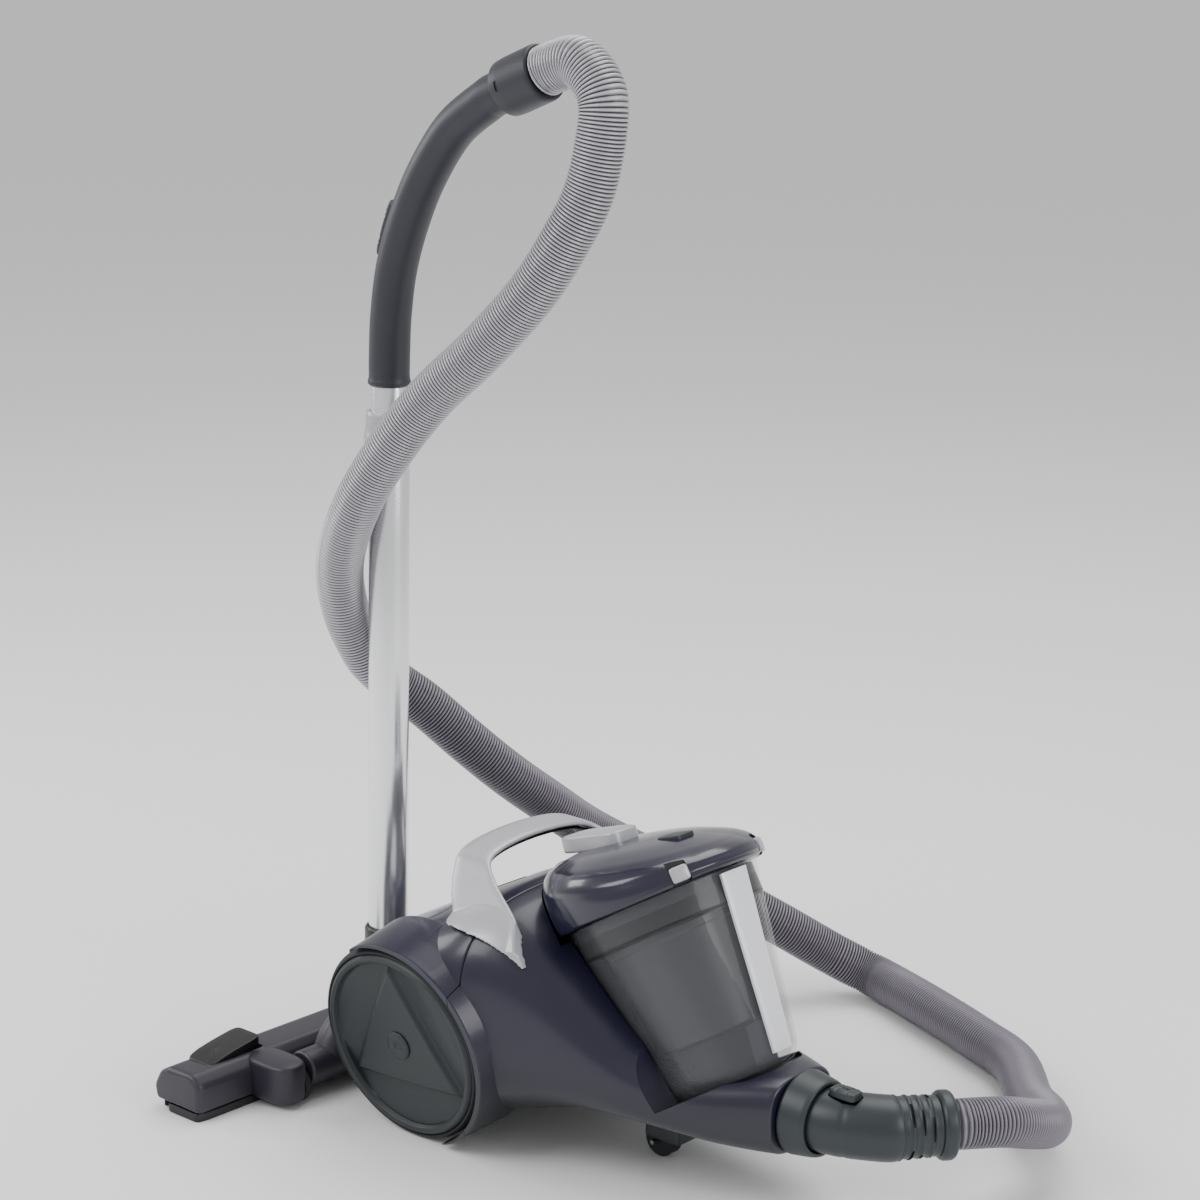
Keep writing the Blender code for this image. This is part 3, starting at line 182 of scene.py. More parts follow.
def skin(name, rings, finish, wrap=False, ends=(None, None), sharp=35.0):
    # a closed surface over rings of equal point count; each open end gets a fan to its middle point
    rows, cols = rings.shape[:2]
    points = rings.reshape(-1, 3)
    quads = gridQuads(rows, cols, True, wrap)
    if wrap:
        return meshPiece(name, points, quads, None, finish, sharp)
    middles = [rings[k].mean(0) if end is None else np.asarray(end, float) for k, end in zip((0, -1), ends)]
    j = np.arange(cols)
    nextCol = (j + 1) % cols
    first, last = rows * cols, rows * cols + 1
    fans = np.vstack([np.stack([np.full(cols, first), nextCol, j], axis=1),
                      np.stack([np.full(cols, last), (rows - 1) * cols + j, (rows - 1) * cols + nextCol],
                               axis=1)])
    return meshPiece(name, np.vstack([points, middles]), quads, fans, finish, sharp)


def spin(name, profile, finish, place=(0, 0, 0), axis=(0, 0, 1), steps=96, wrap=False, sharp=35.0,
         ripple=None):
    # profile (r, h) carried round the axis: place + r (cos a forward + sin a side) + h axis
    profile = np.asarray(profile, float)
    basis, angle = frameOf(axis), around(steps)
    r, h = profile[:, :1], profile[:, 1:2]
    if ripple is not None:
        r, h = ripple(r, h, angle)
    rings = grid(r * np.cos(angle), r * np.sin(angle), h) @ basis.T + vec(*place)
    if wrap:
        return skin(name, rings, finish, True, sharp=sharp)
    keep = slice(1 if profile[0, 0] < 1e-9 else 0, -1 if profile[-1, 0] < 1e-9 else None)
    middle = [vec(*place) + basis[:, 2] * profile[k, 1] for k in (0, -1)]
    return skin(name, rings[keep], finish, ends=middle, sharp=sharp)


def rod(radius, high, low, place, axis=(0, 0, 1), steps=96, finish=None):
    # a plain cylinder between two heights along its axis, to cut with or to join on
    profile = [(0.0, high), (radius, high), (radius, low), (0.0, low)]
    return spin("rod", profile, finish or blackSatin, place, axis, steps)


def framesAlong(path):
    # tangents by central differences, and a side vector carried along with as little twist as possible
    tangent = np.gradient(path, axis=0)
    tangent /= np.linalg.norm(tangent, axis=1, keepdims=True)
    side = np.empty_like(path)
    carried = frameOf(tangent[0])[:, 0]
    for k, t in enumerate(tangent):
        carried = unit(carried - t * carried.dot(t))
        side[k] = carried
    return tangent, side, np.cross(tangent, side)


def pipe(name, path, radius, finish, sides=48, inner=None, sharp=35.0):
    # path + radius (cos a side + sin a other); an inner radius adds a wall back along the inside
    tangent, side, other = framesAlong(path)
    angle = around(sides)[..., None]
    hoop = np.cos(angle) * side[:, None] + np.sin(angle) * other[:, None]
    walls = [path[:, None] + np.broadcast_to(np.asarray(r, float), (len(path),))[:, None, None] * hoop
             for r in (radius, inner) if r is not None]
    rings = walls[0] if inner is None else np.vstack([walls[0], walls[1][::-1]])
    return skin(name, rings, finish, inner is not None, sharp=sharp)


def slab(name, halfLength, halfWidth, profile, finish, place, basis=level, square=5.0, sides=96, warp=None):
    # plan outline |x/a|^n + |y/b|^n = 1, drawn in by the profile's inset at each of its heights
    profile, place = np.asarray(profile, float), vec(*place)
    inset, height = profile[:, :1], profile[:, 1:2]
    across, along = squared(around(sides), square)
    local = grid((halfLength - inset) * across, (halfWidth - inset) * along, height)
    ends = grid(0.0, 0.0, profile[[0, -1], 1])
    if warp is not None:
        local, ends = warp(local), warp(ends[:, None])[:, 0]
    return skin(name, local @ basis.T + place, finish, ends=ends @ basis.T + place)


def ridged(rise, spacing, above, halfLength, halfWidth=1.0):
    # a warp for slab: rise cos(2 pi x / spacing), only over the middle of the top face
    def warp(p):
        wave = rise * np.cos(fullTurn * p[..., 0] / spacing) * (p[..., 2] > above)
        wave = wave * (np.abs(p[..., 0]) < halfLength) * (np.abs(p[..., 1]) < halfWidth)
        return p + grid(0.0, 0.0, wave)
    return warp


def pillowProfile(half, bottom, top, edge, crown=0.0):
    # from under the middle, out and up round the edge, and in over a crowned top
    return rounded([(half, bottom), (0.0, bottom), (0.0, top - crown), (half * 0.45, top - crown * 0.25),
                    (half, top)], edge, 6)


def carve(piece, cutters, operation="DIFFERENCE", sharp=32.0):
    # the cutters' own finish stays on the faces that they leave
    for cutter in cutters:
        step = piece.modifiers.new(cutter.name, "BOOLEAN")
        step.operation = operation
        step.solver = "EXACT"
        step.material_mode = "TRANSFER"
        step.object = cutter
    bpy.context.view_layer.update()
    mesh = bpy.data.meshes.new_from_object(piece.evaluated_get(bpy.context.evaluated_depsgraph_get()))
    piece.modifiers.clear()
    piece.data = smoothed(mesh, sharp)
    for cutter in cutters:
        bpy.data.objects.remove(cutter)
    return piece


def melt(piece, grain, rounds):
    # even small cells over the whole surface, then neighbours averaged, which rounds and blends every edge
    cells = piece.modifiers.new("cells", "REMESH")
    cells.mode = "VOXEL"
    cells.voxel_size = grain
    soften = piece.modifiers.new("soften", "SMOOTH")
    soften.factor = 0.5
    soften.iterations = rounds
    return carve(piece, [], sharp=60.0)


def block(low, high, place=(0, 0, 0), basis=level, finish=None):
    # eight corners of a cuboid, used to cut other pieces
    low, high = vec(*low), vec(*high)
    corner = np.array([(x, y, z) for x in (0, 1) for y in (0, 1) for z in (0, 1)], float)
    faces = np.array([(0, 1, 3, 2), (4, 6, 7, 5), (0, 4, 5, 1), (2, 3, 7, 6), (0, 2, 6, 4), (1, 5, 7, 3)])
    points = (low + corner * (high - low)) @ basis.T + vec(*place)
    return meshPiece("block", points, faces, None, finish or blackSatin)


def settle(piece, body, *nodes, slot=None):
    # hang the piece on its body and let it stand for the plain solids
    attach(piece, body)
    if nodes:
        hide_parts(*nodes)
    return piece


def linear(red, green, blue):
    # display values 0 to 255 to linear light
    c = vec(red, green, blue) / 255.0
    return tuple(np.where(c <= 0.04045, c / 12.92, ((c + 0.055) / 1.055) ** 2.4)) + (1.0,)


def shade(colour, factor):
    # the same colour, lighter or darker
    return tuple(min(1.0, c * factor) for c in colour[:3]) + (1.0,)


def addNode(tree, kind, values, feeds, **settings):
    # one shader node: its settings, its input values and the sockets that feed it
    node = tree.nodes.new("ShaderNode" + kind)
    for key, value in settings.items():
        setattr(node, key, value)
    for key, value in values.items():
        node.inputs[key].default_value = value
    for key, socket in feeds.items():
        tree.links.new(socket, node.inputs[key])
    return node


def newFinish(name, colour, rough, metal=0.0, coat=0.0, grainScale=90.0, grainDepth=0.06, mottle=0.08,
              roughSpread=0.06, stretch=(1.0, 1.0, 1.0), lower=None):
    # object-space noise varies the colour a little, the roughness and the fine surface grain
    finish = bpy.data.materials.new(name)
    finish.use_nodes = True
    tree = finish.node_tree
    shader = tree.nodes["Principled BSDF"]
    for key, value in (("Metallic", metal), ("Coat Weight", coat), ("Coat Roughness", 0.06)):
        shader.inputs[key].default_value = value
    where = addNode(tree, "TexCoord", {}, {}).outputs["Object"]
    pulled = addNode(tree, "Mapping", {"Scale": stretch}, {"Vector": where}).outputs["Vector"]
    broad = addNode(tree, "TexNoise", {"Scale": 14.0, "Detail": 3.0}, {"Vector": pulled}).outputs["Fac"]
    tint = addNode(tree, "Mix", {"A": shade(colour, 1.0 - mottle), "B": shade(colour, 1.0 + mottle)},
                   {"Factor": broad}, data_type="RGBA").outputs["Result"]
    if lower is not None:  # a second colour below, fading out between two heights
        height = addNode(tree, "SeparateXYZ", {}, {"Vector": where}).outputs["Z"]
        fade = addNode(tree, "MapRange", {"From Min": lower[1], "From Max": lower[2]}, {"Value": height},
                       interpolation_type="SMOOTHSTEP").outputs["Result"]
        tint = addNode(tree, "Mix", {"A": lower[0]}, {"B": tint, "Factor": fade},
                       data_type="RGBA").outputs["Result"]
    fine = addNode(tree, "TexNoise", {"Scale": grainScale * 10.0, "Detail": 4.0},
                   {"Vector": pulled}).outputs["Fac"]
    spread = {"To Min": max(0.02, rough - roughSpread), "To Max": rough + roughSpread}
    sheen = addNode(tree, "MapRange", spread, {"Value": fine}).outputs["Result"]
    bump = addNode(tree, "Bump", {"Strength": grainDepth, "Distance": 0.0004},
                   {"Height": fine}).outputs["Normal"]
    for key, socket in (("Base Color", tint), ("Roughness", sheen), ("Normal", bump)):
        tree.links.new(socket, shader.inputs[key])
    return finish


def ribbedFinish(name, crest, ribShade, rough, metal):
    # the hose's ribs: the "depth" attribute runs from 0 in a groove to 1 on a crest; the groove colour it mixes
    # in is painted shade in the ribs
    finish = newFinish(name, crest, rough, metal, grainScale=60.0, grainDepth=0.03)
    tree = finish.node_tree
    colourInput = tree.nodes["Principled BSDF"].inputs["Base Color"]
    depth = addNode(tree, "Attribute", {}, {}, attribute_name="depth").outputs["Fac"]
    mix = addNode(tree, "Mix", {"A": ribShade}, {"Factor": depth, "B": colourInput.links[0].from_socket},
                  data_type="RGBA")
    tree.links.new(mix.outputs["Result"], colourInput)
    return finish


def clearFinish(name, colour, rough, alpha):
    # thin clear plastic: mostly see-through, with a glossy coat
    finish = newFinish(name, colour, rough, coat=0.6, grainDepth=0.0, mottle=0.03, roughSpread=0.01)
    shader = finish.node_tree.nodes["Principled BSDF"]
    shader.inputs["Alpha"].default_value = alpha
    shader.inputs["IOR"].default_value = 1.5
    return finish


colours = {
    "navy": linear(18, 16, 40),
    "lowerFade": linear(27, 30, 36),
    "slate": linear(32, 40, 43),
    "wheelGrey": linear(29, 36, 39),
    "grip": linear(34, 36, 45),
    "mauve": linear(38, 35, 46),
    "black": linear(15, 15, 17),
    "smoke": linear(24, 24, 25),
    "silver": linear(172, 172, 178),
    "bright": linear(236, 237, 240),
    "pale": linear(226, 227, 232),
    "steel": linear(150, 150, 154),
    "filter": linear(196, 190, 172),
    "rubber": linear(25, 29, 31),
    # hose colours: the groove colours are painted shade in the ribs, and the lower hose's pair is a darker
    # painted-shade copy of the upper hose's painted-lit pair
    "paintedLitHoseCrest": linear(186, 184, 191),
    "paintedShadeHoseGroove": linear(46, 44, 50),
    "paintedShadeLowHoseCrest": linear(128, 124, 133),
    "paintedShadeLowHoseGroove": linear(31, 29, 35),
}

# the body's colour turns greyer towards the bottom, fading in between two heights
navyGloss = newFinish("navyGloss", colours["navy"], 0.33, coat=0.12, grainDepth=0.015,
                      lower=(colours["lowerFade"], 0.035, 0.125))
lidGloss = newFinish("lidGloss", colours["navy"], 0.24, coat=0.4, grainDepth=0.012)
slateSatin = newFinish("slateSatin", colours["slate"], 0.42, grainScale=120.0, grainDepth=0.1)
wheelSatin = newFinish("wheelSatin", colours["wheelGrey"], 0.48, grainScale=120.0, grainDepth=0.12)
gripSatin = newFinish("gripSatin", colours["grip"], 0.46, grainScale=140.0, grainDepth=0.14)
mauveSatin = newFinish("mauveSatin", colours["mauve"], 0.42, grainScale=120.0, grainDepth=0.1)
blackSatin = newFinish("blackSatin", colours["black"], 0.4, grainScale=120.0, grainDepth=0.08)
smokedPanel = newFinish("smokedPanel", colours["smoke"], 0.38, grainDepth=0.0)
silverPaint = newFinish("silverPaint", colours["silver"], 0.34, metal=0.25, coat=0.2, grainScale=200.0,
                        grainDepth=0.03, mottle=0.03)
paleGloss = newFinish("paleGloss", colours["pale"], 0.25, coat=0.5, grainDepth=0.02, mottle=0.02)
brightTube = newFinish("brightTube", colours["bright"], 0.24, metal=0.9, grainScale=20.0, grainDepth=0.02,
                       mottle=0.05, stretch=(26.0, 26.0, 0.4))
plainSteel = newFinish("plainSteel", colours["steel"], 0.32, metal=1.0, grainScale=40.0, grainDepth=0.05)
pleatedFilter = newFinish("pleatedFilter", colours["filter"], 0.92, grainScale=50.0, grainDepth=0.5)
softRubber = newFinish("softRubber", colours["rubber"], 0.72, grainScale=160.0, grainDepth=0.2)
bristle = newFinish("bristle", colours["black"], 0.85, grainScale=200.0, grainDepth=0.9,
                    stretch=(6.0, 6.0, 0.3))
clearShell = clearFinish("clearShell", linear(120, 122, 128), 0.06, 0.16)
# one hose finish twice: the upper copy painted lit, the lower copy painted in shade, each with painted shade in
# its grooves
paintedLitHose = ribbedFinish("paintedLitHose", colours["paintedLitHoseCrest"], colours["paintedShadeHoseGroove"], 0.36, 0.35)
paintedShadeHose = ribbedFinish("paintedShadeHose", colours["paintedShadeLowHoseCrest"], colours["paintedShadeLowHoseGroove"], 0.42, 0.25)
print("finishes ready")


cameraSetup = {"place": (1.7091, -1.8547, 1.0907), "azimuth": 41.0, "pitch": 14.0, "roll": 1.1, "lens": 90.0}


def makeCamera(setup):
    # right = (cos az, sin az, 0), back = the way from the subject to the camera, both turned by roll
    az, pitch, roll = (math.radians(setup[key]) for key in ("azimuth", "pitch", "roll"))
    right = vec(math.cos(az), math.sin(az), 0.0)
    back = vec(math.sin(az) * math.cos(pitch), -math.cos(az) * math.cos(pitch), math.sin(pitch))
    up = np.cross(back, right)
    rolledRight = math.cos(roll) * right + math.sin(roll) * up
    rolledUp = math.cos(roll) * up - math.sin(roll) * right
    data = bpy.data.cameras.new("camera")
    data.lens = setup["lens"]
    data.sensor_width = 36.0
    camera = bpy.data.objects.new("camera", data)
    bpy.context.scene.collection.objects.link(camera)
    matrix = np.eye(4)
    matrix[:3, :3] = np.stack([rolledRight, rolledUp, back], axis=1)
    matrix[:3, 3] = vec(*setup["place"]) + rearAxle
    camera.matrix_world = Matrix(matrix.tolist())
    bpy.context.scene.camera = camera


makeCamera(cameraSetup)

lamps = {
    "key": {"place": (-1.1, -2.4, 2.6), "size": 1.8, "power": 62.0},
    "right": {"place": (2.8, 0.3, 1.6), "size": 1.4, "power": 34.0},
    "top": {"place": (-0.2, 1.2, 3.0), "size": 2.2, "power": 60.0},
    "strip": {"place": (-2.2, -0.6, 1.2), "size": 0.8, "power": 14.0},
}


def makeLamps(setup):
    # square lamps that all face the middle of the body, and a white surround
    target = vec(0.05, 0.0, 0.35)
    for name, lamp in setup.items():
        data = bpy.data.lights.new(name, "AREA")
        data.energy = lamp["power"]
        data.size = lamp["size"]
        light = bpy.data.objects.new(name, data)
        bpy.context.scene.collection.objects.link(light)
        matrix = np.eye(4)
        matrix[:3, :3] = frameOf(vec(*lamp["place"]) - target)
        matrix[:3, 3] = vec(*lamp["place"])
        light.matrix_world = Matrix(matrix.tolist())
    world = bpy.data.worlds.new("studio")
    world.use_nodes = True
    world.node_tree.nodes["Background"].inputs["Color"].default_value = (1.0, 1.0, 1.0, 1.0)
    world.node_tree.nodes["Background"].inputs["Strength"].default_value = 0.75
    bpy.context.scene.world = world


makeLamps(lamps)

floorFinish = newFinish("floorFinish", (0.86, 0.86, 0.86, 1.0), 0.55, grainDepth=0.0, mottle=0.004)
floorEdge = np.linspace(-30.0, 30.0, 7)
floorGrid = np.stack(np.meshgrid(floorEdge, floorEdge, [0.0], indexing="ij"), axis=-1).reshape(-1, 3)
floor = meshPiece("floor", floorGrid, gridQuads(7, 7, False), None, floorFinish)
if floor.data.polygons[0].normal.z < 0:
    floor.data.flip_normals()
print("camera, lamps and floor ready")


# the hose is laid first, since the fittings at its ends are placed from it
hose = {"radius": 0.0212, "pitch": 0.0031, "ribDepth": 0.0017, "sides": 30, "rowsPerRib": 5, "lead": 0.012}
wand = {"x": -0.12, "y": -0.035}
cuffAxis = unit((0.927, 0.0, 0.375))
sleeveWay = unit((0.62, 0.784, 0.0))
gripEnd = vec(0.0144, wand["y"], 0.9002)
elbowEnd = vec(0.4045, 0.0265, 0.0836)
cuffEnd = gripEnd + cuffAxis * 0.0469
ringEnd = elbowEnd + sleeveWay * 0.0479
splice = vec(-0.156, 0.0, 0.361)
spliceWay = unit((0.29, 0.65, -0.7))
upperRoute = [
    (0.096, -0.036, 0.927), (0.12, -0.038, 0.907), (0.125, -0.04, 0.88), (0.116, -0.044, 0.828),
    (0.096, -0.05, 0.786), (0.064, -0.056, 0.739), (0.015, -0.063, 0.688), (-0.035, -0.071, 0.642),
    (-0.076, -0.078, 0.593), (-0.1157, -0.079, 0.538), (-0.1485, -0.067, 0.482), (-0.1615, -0.048, 0.432),
    (-0.163, -0.023, 0.388)]
lowerRoute = [
    (-0.138, 0.03, 0.332), (-0.116, 0.063, 0.295), (-0.097, 0.098, 0.26), (-0.084, 0.14, 0.226),
    (-0.075, 0.19, 0.189), (-0.054, 0.248, 0.152), (-0.018, 0.306, 0.116), (0.025, 0.352, 0.08),
    (0.065, 0.396, 0.044), (0.1058, 0.4197, 0.0228), (0.1839, 0.3928, 0.0225), (0.2645, 0.3596, 0.0225),
    (0.323, 0.3303, 0.0228), (0.3866, 0.2579, 0.03), (0.428, 0.216, 0.041), (0.452, 0.18, 0.053),
    (0.46, 0.14, 0.068), (0.457, 0.104, 0.08)]


def hoseLine(first, firstWay, points, last, lastWay):
    # straight out of each fitting for a short lead, then one smooth curve through the route
    points = [first, first + firstWay * hose["lead"]] + [vec(*p) for p in points]
    points += [last - lastWay * hose["lead"], last]
    return route(points, hose["pitch"] / hose["rowsPerRib"])


def ribbedHose(name, line, finish):
    # radius falls by ribDepth * (0.5 + 0.5 cos(2 pi s / pitch))^1.6 along the length s
    s = np.concatenate([[0.0], np.cumsum(np.linalg.norm(np.diff(line, axis=0), axis=1))])
    dip = (0.5 + 0.5 * np.cos(fullTurn * s / hose["pitch"])) ** 1.6
    piece = pipe(name, line, hose["radius"] - hose["ribDepth"] * dip, finish, hose["sides"], sharp=80.0)
    depth = piece.data.attributes.new("depth", "FLOAT", "POINT")
    values = np.concatenate([np.repeat(1.0 - dip, hose["sides"]), [0.0, 0.0]])
    depth.data.foreach_set("value", values.astype(np.float32))
    return piece, s[-1]


def layHose():
    # the two halves meet in a splice behind the tube, a hair apart, and each follows the bodies at its ends
    gap = spliceWay * 0.00015
    upperLine = hoseLine(cuffEnd, cuffAxis, upperRoute, splice - gap, spliceWay)
    lowerLine = hoseLine(splice + gap, spliceWay, lowerRoute, ringEnd, -sleeveWay)
    # the upper half gets the painted-lit hose finish and the lower half the painted-shade copy
    upper, upperLength = ribbedHose("hoseUpper", upperLine, paintedLitHose)
    lower, lowerLength = ribbedHose("hoseLower", lowerLine, paintedShadeHose)
    for piece, node in ((upper, "hose_upper"), (lower, "hose_lower")):
        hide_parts(node)
    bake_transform(upper)
    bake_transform(lower)
    print("hose laid:", round(upperLength, 3), "+", round(lowerLength, 3), "m")


layHose()

bodyShape = {
    "x": (-0.092, -0.078, -0.05, -0.015, 0.025, 0.06, 0.095, 0.13, 0.165, 0.2, 0.24, 0.28, 0.31, 0.328),
    "half": (0.064, 0.104, 0.13, 0.141, 0.145, 0.142, 0.131, 0.119, 0.108, 0.097, 0.083, 0.066, 0.051, 0.042),
    "bottom": (0.055, 0.034, 0.027, 0.024, 0.024, 0.027, 0.034, 0.045, 0.053, 0.056, 0.055, 0.051, 0.05,
               0.0505),
    "top": (0.126, 0.155, 0.174, 0.195, 0.215, 0.227, 0.224, 0.201, 0.168, 0.138, 0.119, 0.116, 0.1175,
            0.1175),
    "power": 3.1, "sides": 176, "split": 0.068}
dustBin = {"foot": vec(0.262, 0.0, 0.09), "lean": math.radians(32.0), "footRadius": 0.0565,
           "topRadius": 0.086, "height": 0.168, "wall": 0.0025, "lidRadius": 0.094}
binUp = vec(-math.sin(dustBin["lean"]), 0.0, math.cos(dustBin["lean"]))
binFront = vec(math.cos(dustBin["lean"]), 0.0, math.sin(dustBin["lean"]))
binFrame = frameOf(binUp, binFront)
wheel = {"radius": 0.0905, "camber": math.radians(10.0), "faceY": 0.142, "x": -0.003, "well": 0.0932,
         "depth": 0.036, "reach": 0.08}
fender = {"from": -64.0, "to": 118.0, "lip": 0.0055, "thin": 0.0004, "root": 0.004, "flare": 0.011,
          "inward": 0.05, "proud": -0.0005, "rows": 90,
          "section": [(0.0, 0.0, 0.0), (1.0, 0.0, 0.0), (1.0, 0.08, 0.1), (1.0, 0.45, 0.5), (1.0, 1.0, 1.0),
                      (0.0, 0.0, 1.0)]}  # shares of lip, flare and depth
wheelZ = wheel["radius"] * math.cos(wheel["camber"]) - 0.01 * math.sin(wheel["camber"])


def bodySection(x, inset=0.0):
    # half width, middle height and half height of the body at x
    half = through(bodyShape["x"], bodyShape["half"], x) - inset
    bottom = through(bodyShape["x"], bodyShape["bottom"], x)
    top = through(bodyShape["x"], bodyShape["top"], x)
    return half, (bottom + top) / 2, (top - bottom) / 2 - inset


def bodySkin(name, x, inset, finish):
    # squared-off oval sections |y/w|^n + |z/h|^n = 1 along the body's length
    half, middle, rise = (v[:, None] for v in bodySection(x, inset))
    across, along = squared(around(bodyShape["sides"]), bodyShape["power"])
    return skin(name, grid(x[:, None], half * across, middle + rise * along), finish)


def softEnds(low, high, count, edge, arcSteps=6):
    # stations from low to high, with an inset that goes to 0 in a quarter round at both ends
    arc = np.linspace(0.0, halfTurn / 2, arcSteps)
    x = np.concatenate([low + edge * (1 - np.cos(arc)), np.linspace(low + edge, high - edge, count)[1:-1],
                        high - edge * (1 - np.cos(arc[::-1]))])
    inset = np.concatenate([edge * (1 - np.sin(arc)), np.zeros(count - 2), edge * (1 - np.sin(arc[::-1]))])
    return x, inset


def wheelPlace(side):
    # the middle of the wheel's outer plane, and the way out along its axle, which leans down by the camber
    lean = wheel["camber"]
    return vec(wheel["x"], side * wheel["faceY"], wheelZ), vec(0.0, side * math.cos(lean), -math.sin(lean))


def wheelWells():
    # one cylinder on each axle, a little wider than the wheel
    return [rod(wheel["well"], wheel["reach"], -wheel["depth"], *wheelPlace(side), 120)
            for side, label in bothSides]


def makeFender(side):
    # round the wheel from low in front to behind the top; the lip swells by sin^0.6 and flares into the body
    share = np.linspace(0.0, 1.0, fender["rows"])[:, None]
    angle = np.radians(fender["from"] + (fender["to"] - fender["from"]) * share)
    swell = np.sin(halfTurn * share) ** 0.6
    lip = fender["lip"] * swell + fender["thin"]
    lipShare, flareShare, depthShare = rounded(fender["section"], 0.04, 3, closed=True).T[:, None]
    r = wheel["well"] - fender["root"] + (fender["root"] + lip) * lipShare + fender["flare"] * swell * flareShare
    h = fender["proud"] - fender["inward"] * depthShare
    centre, axis = wheelPlace(side)
    return skin("fender", grid(r * np.cos(angle), -side * r * np.sin(angle), h) @ frameOf(axis).T + centre,
                navyGloss)


def binRoom(clearance):
    # the bin's own cone with clearance all round, and above it a wider way out for the lid
    slope = (dustBin["topRadius"] - dustBin["footRadius"]) / dustBin["height"]
    foot, wide = dustBin["footRadius"] + clearance, dustBin["lidRadius"] + 0.002
    step, high = dustBin["height"] - 0.006, 0.32
    profile = [(0.0, high), (wide, high), (wide, step), (foot + slope * step, step), (foot, 0.0),
               (foot - 0.006, -clearance), (0.0, -clearance)]
    return spin("binRoom", profile, blackSatin, dustBin["foot"], binUp, 120)


deckUp = unit((-0.48, 0.0, 0.877))
deckFrame = frameOf(deckUp, (0.877, 0.0, 0.48))
pedals = {"power_pedal": (-0.034, -0.06, 0.1795), "rewind_pedal": (-0.034, 0.06, 0.1795)}
pedal = {"half": (0.029, 0.017), "ridge": 0.00035, "spacing": 0.0058}
grille = {"half": (0.031, 0.03), "place": vec(-0.032, 0.0, 0.1835), "slots": 7, "firstSlot": -0.0225,
          "step": 0.0075}
motorRoom = {"x": (-0.08, -0.055, -0.015, 0.025, 0.0615), "half": (0.07, 0.083, 0.083, 0.083, 0.083),
             "top": (0.145, 0.166, 0.189, 0.208, 0.219), "wall": 0.006, "low": -0.02}
inlet = {"height": 0.084, "bore": 0.0295, "from": 0.3, "to": 0.36}


def deckPocket(place, half):
    # room for a piece of the deck, wider by a gap all round
    gap = 0.0006
    return slab("pocket", half[0] + gap, half[1] + gap, [(0.0, -0.03), (0.0, 0.04)], blackSatin, place,
                deckFrame, 9.0, 64)


def makeMotorRoom():
    # upright four-sided sections, open below and a wall's thickness under the body's top
    corner = np.array([(-1, 0.0), (1, 0.0), (1, 1.0), (-1, 1.0)])
    half, top = vec(*motorRoom["half"])[:, None], (vec(*motorRoom["top"]) - motorRoom["wall"])[:, None]
    rings = grid(vec(*motorRoom["x"])[:, None], half * corner[:, 0],
                 np.where(corner[:, 1] > 0, top, motorRoom["low"]))
    return skin("motorRoom", rings, blackSatin, sharp=20)


def makeBody():
    # two shells that meet at the split, each joined to its fenders and then cut for what it holds
    split, edge, far = bodyShape["split"], 0.0022, 0.5
    x, inset = softEnds(bodyShape["x"][0], split - 0.0004, 84, edge)
    inset[-6:] *= 0.35  # the seam is crisper than the ends
    rear = bodySkin("rearHousing", x, inset, navyGloss)
    x, inset = softEnds(split + 0.0002, bodyShape["x"][-1], 110, edge)
    inset[:6] *= 0.35
    front = bodySkin("frontBody", x, inset, navyGloss)
    for shell in (rear, front):
        carve(shell, [makeFender(side) for side, label in bothSides], "UNION")
    cuts = [*wheelWells(), makeMotorRoom(), binRoom(0.001), block((split - 0.0003, -0.3, -0.1),
                                                                  (far, 0.3, 0.4))]
    cuts += [deckPocket(place, pedal["half"]) for place in pedals.values()]
    cuts.append(deckPocket(grille["place"], grille["half"]))
    settle(carve(rear, cuts), "chassis", "rear_housing")
    cuts = [*wheelWells(), binRoom(0.001), block((-far, -0.3, -0.1), (split + 0.0003, 0.3, 0.4)),
            block((-0.024, -0.2, 0.004), (0.3, 0.2, 0.36), dustBin["foot"], binFrame, navyGloss),
            rod(inlet["bore"], inlet["to"], inlet["from"], (0, 0, inlet["height"]), (1, 0, 0))]
    settle(carve(front, cuts), "chassis", "front_body")
    print("body shells ready")


makeBody()


wheelFace = {"arms": 3, "turn": math.radians(34.0), "chord": 0.0345, "wall": 0.0045, "slope": 0.034,
             "recess": 0.0048}


def faceHeight(r, angle, base):
    # a raised triangle: beyond each side r cos(a) = chord the face drops steeply, then climbs gently to
    # the rim
    part = fullTurn / wheelFace["arms"]
    beyond = r * np.cos((angle - wheelFace["turn"] + part / 2) % part - part / 2) - wheelFace["chord"]
    wall, slope = wheelFace["wall"], wheelFace["slope"]
    drop = smoothStep(beyond, 0.0, wall) * (1.0 - smoothStep(beyond, wall, slope))
    return base - wheelFace["recess"] * drop


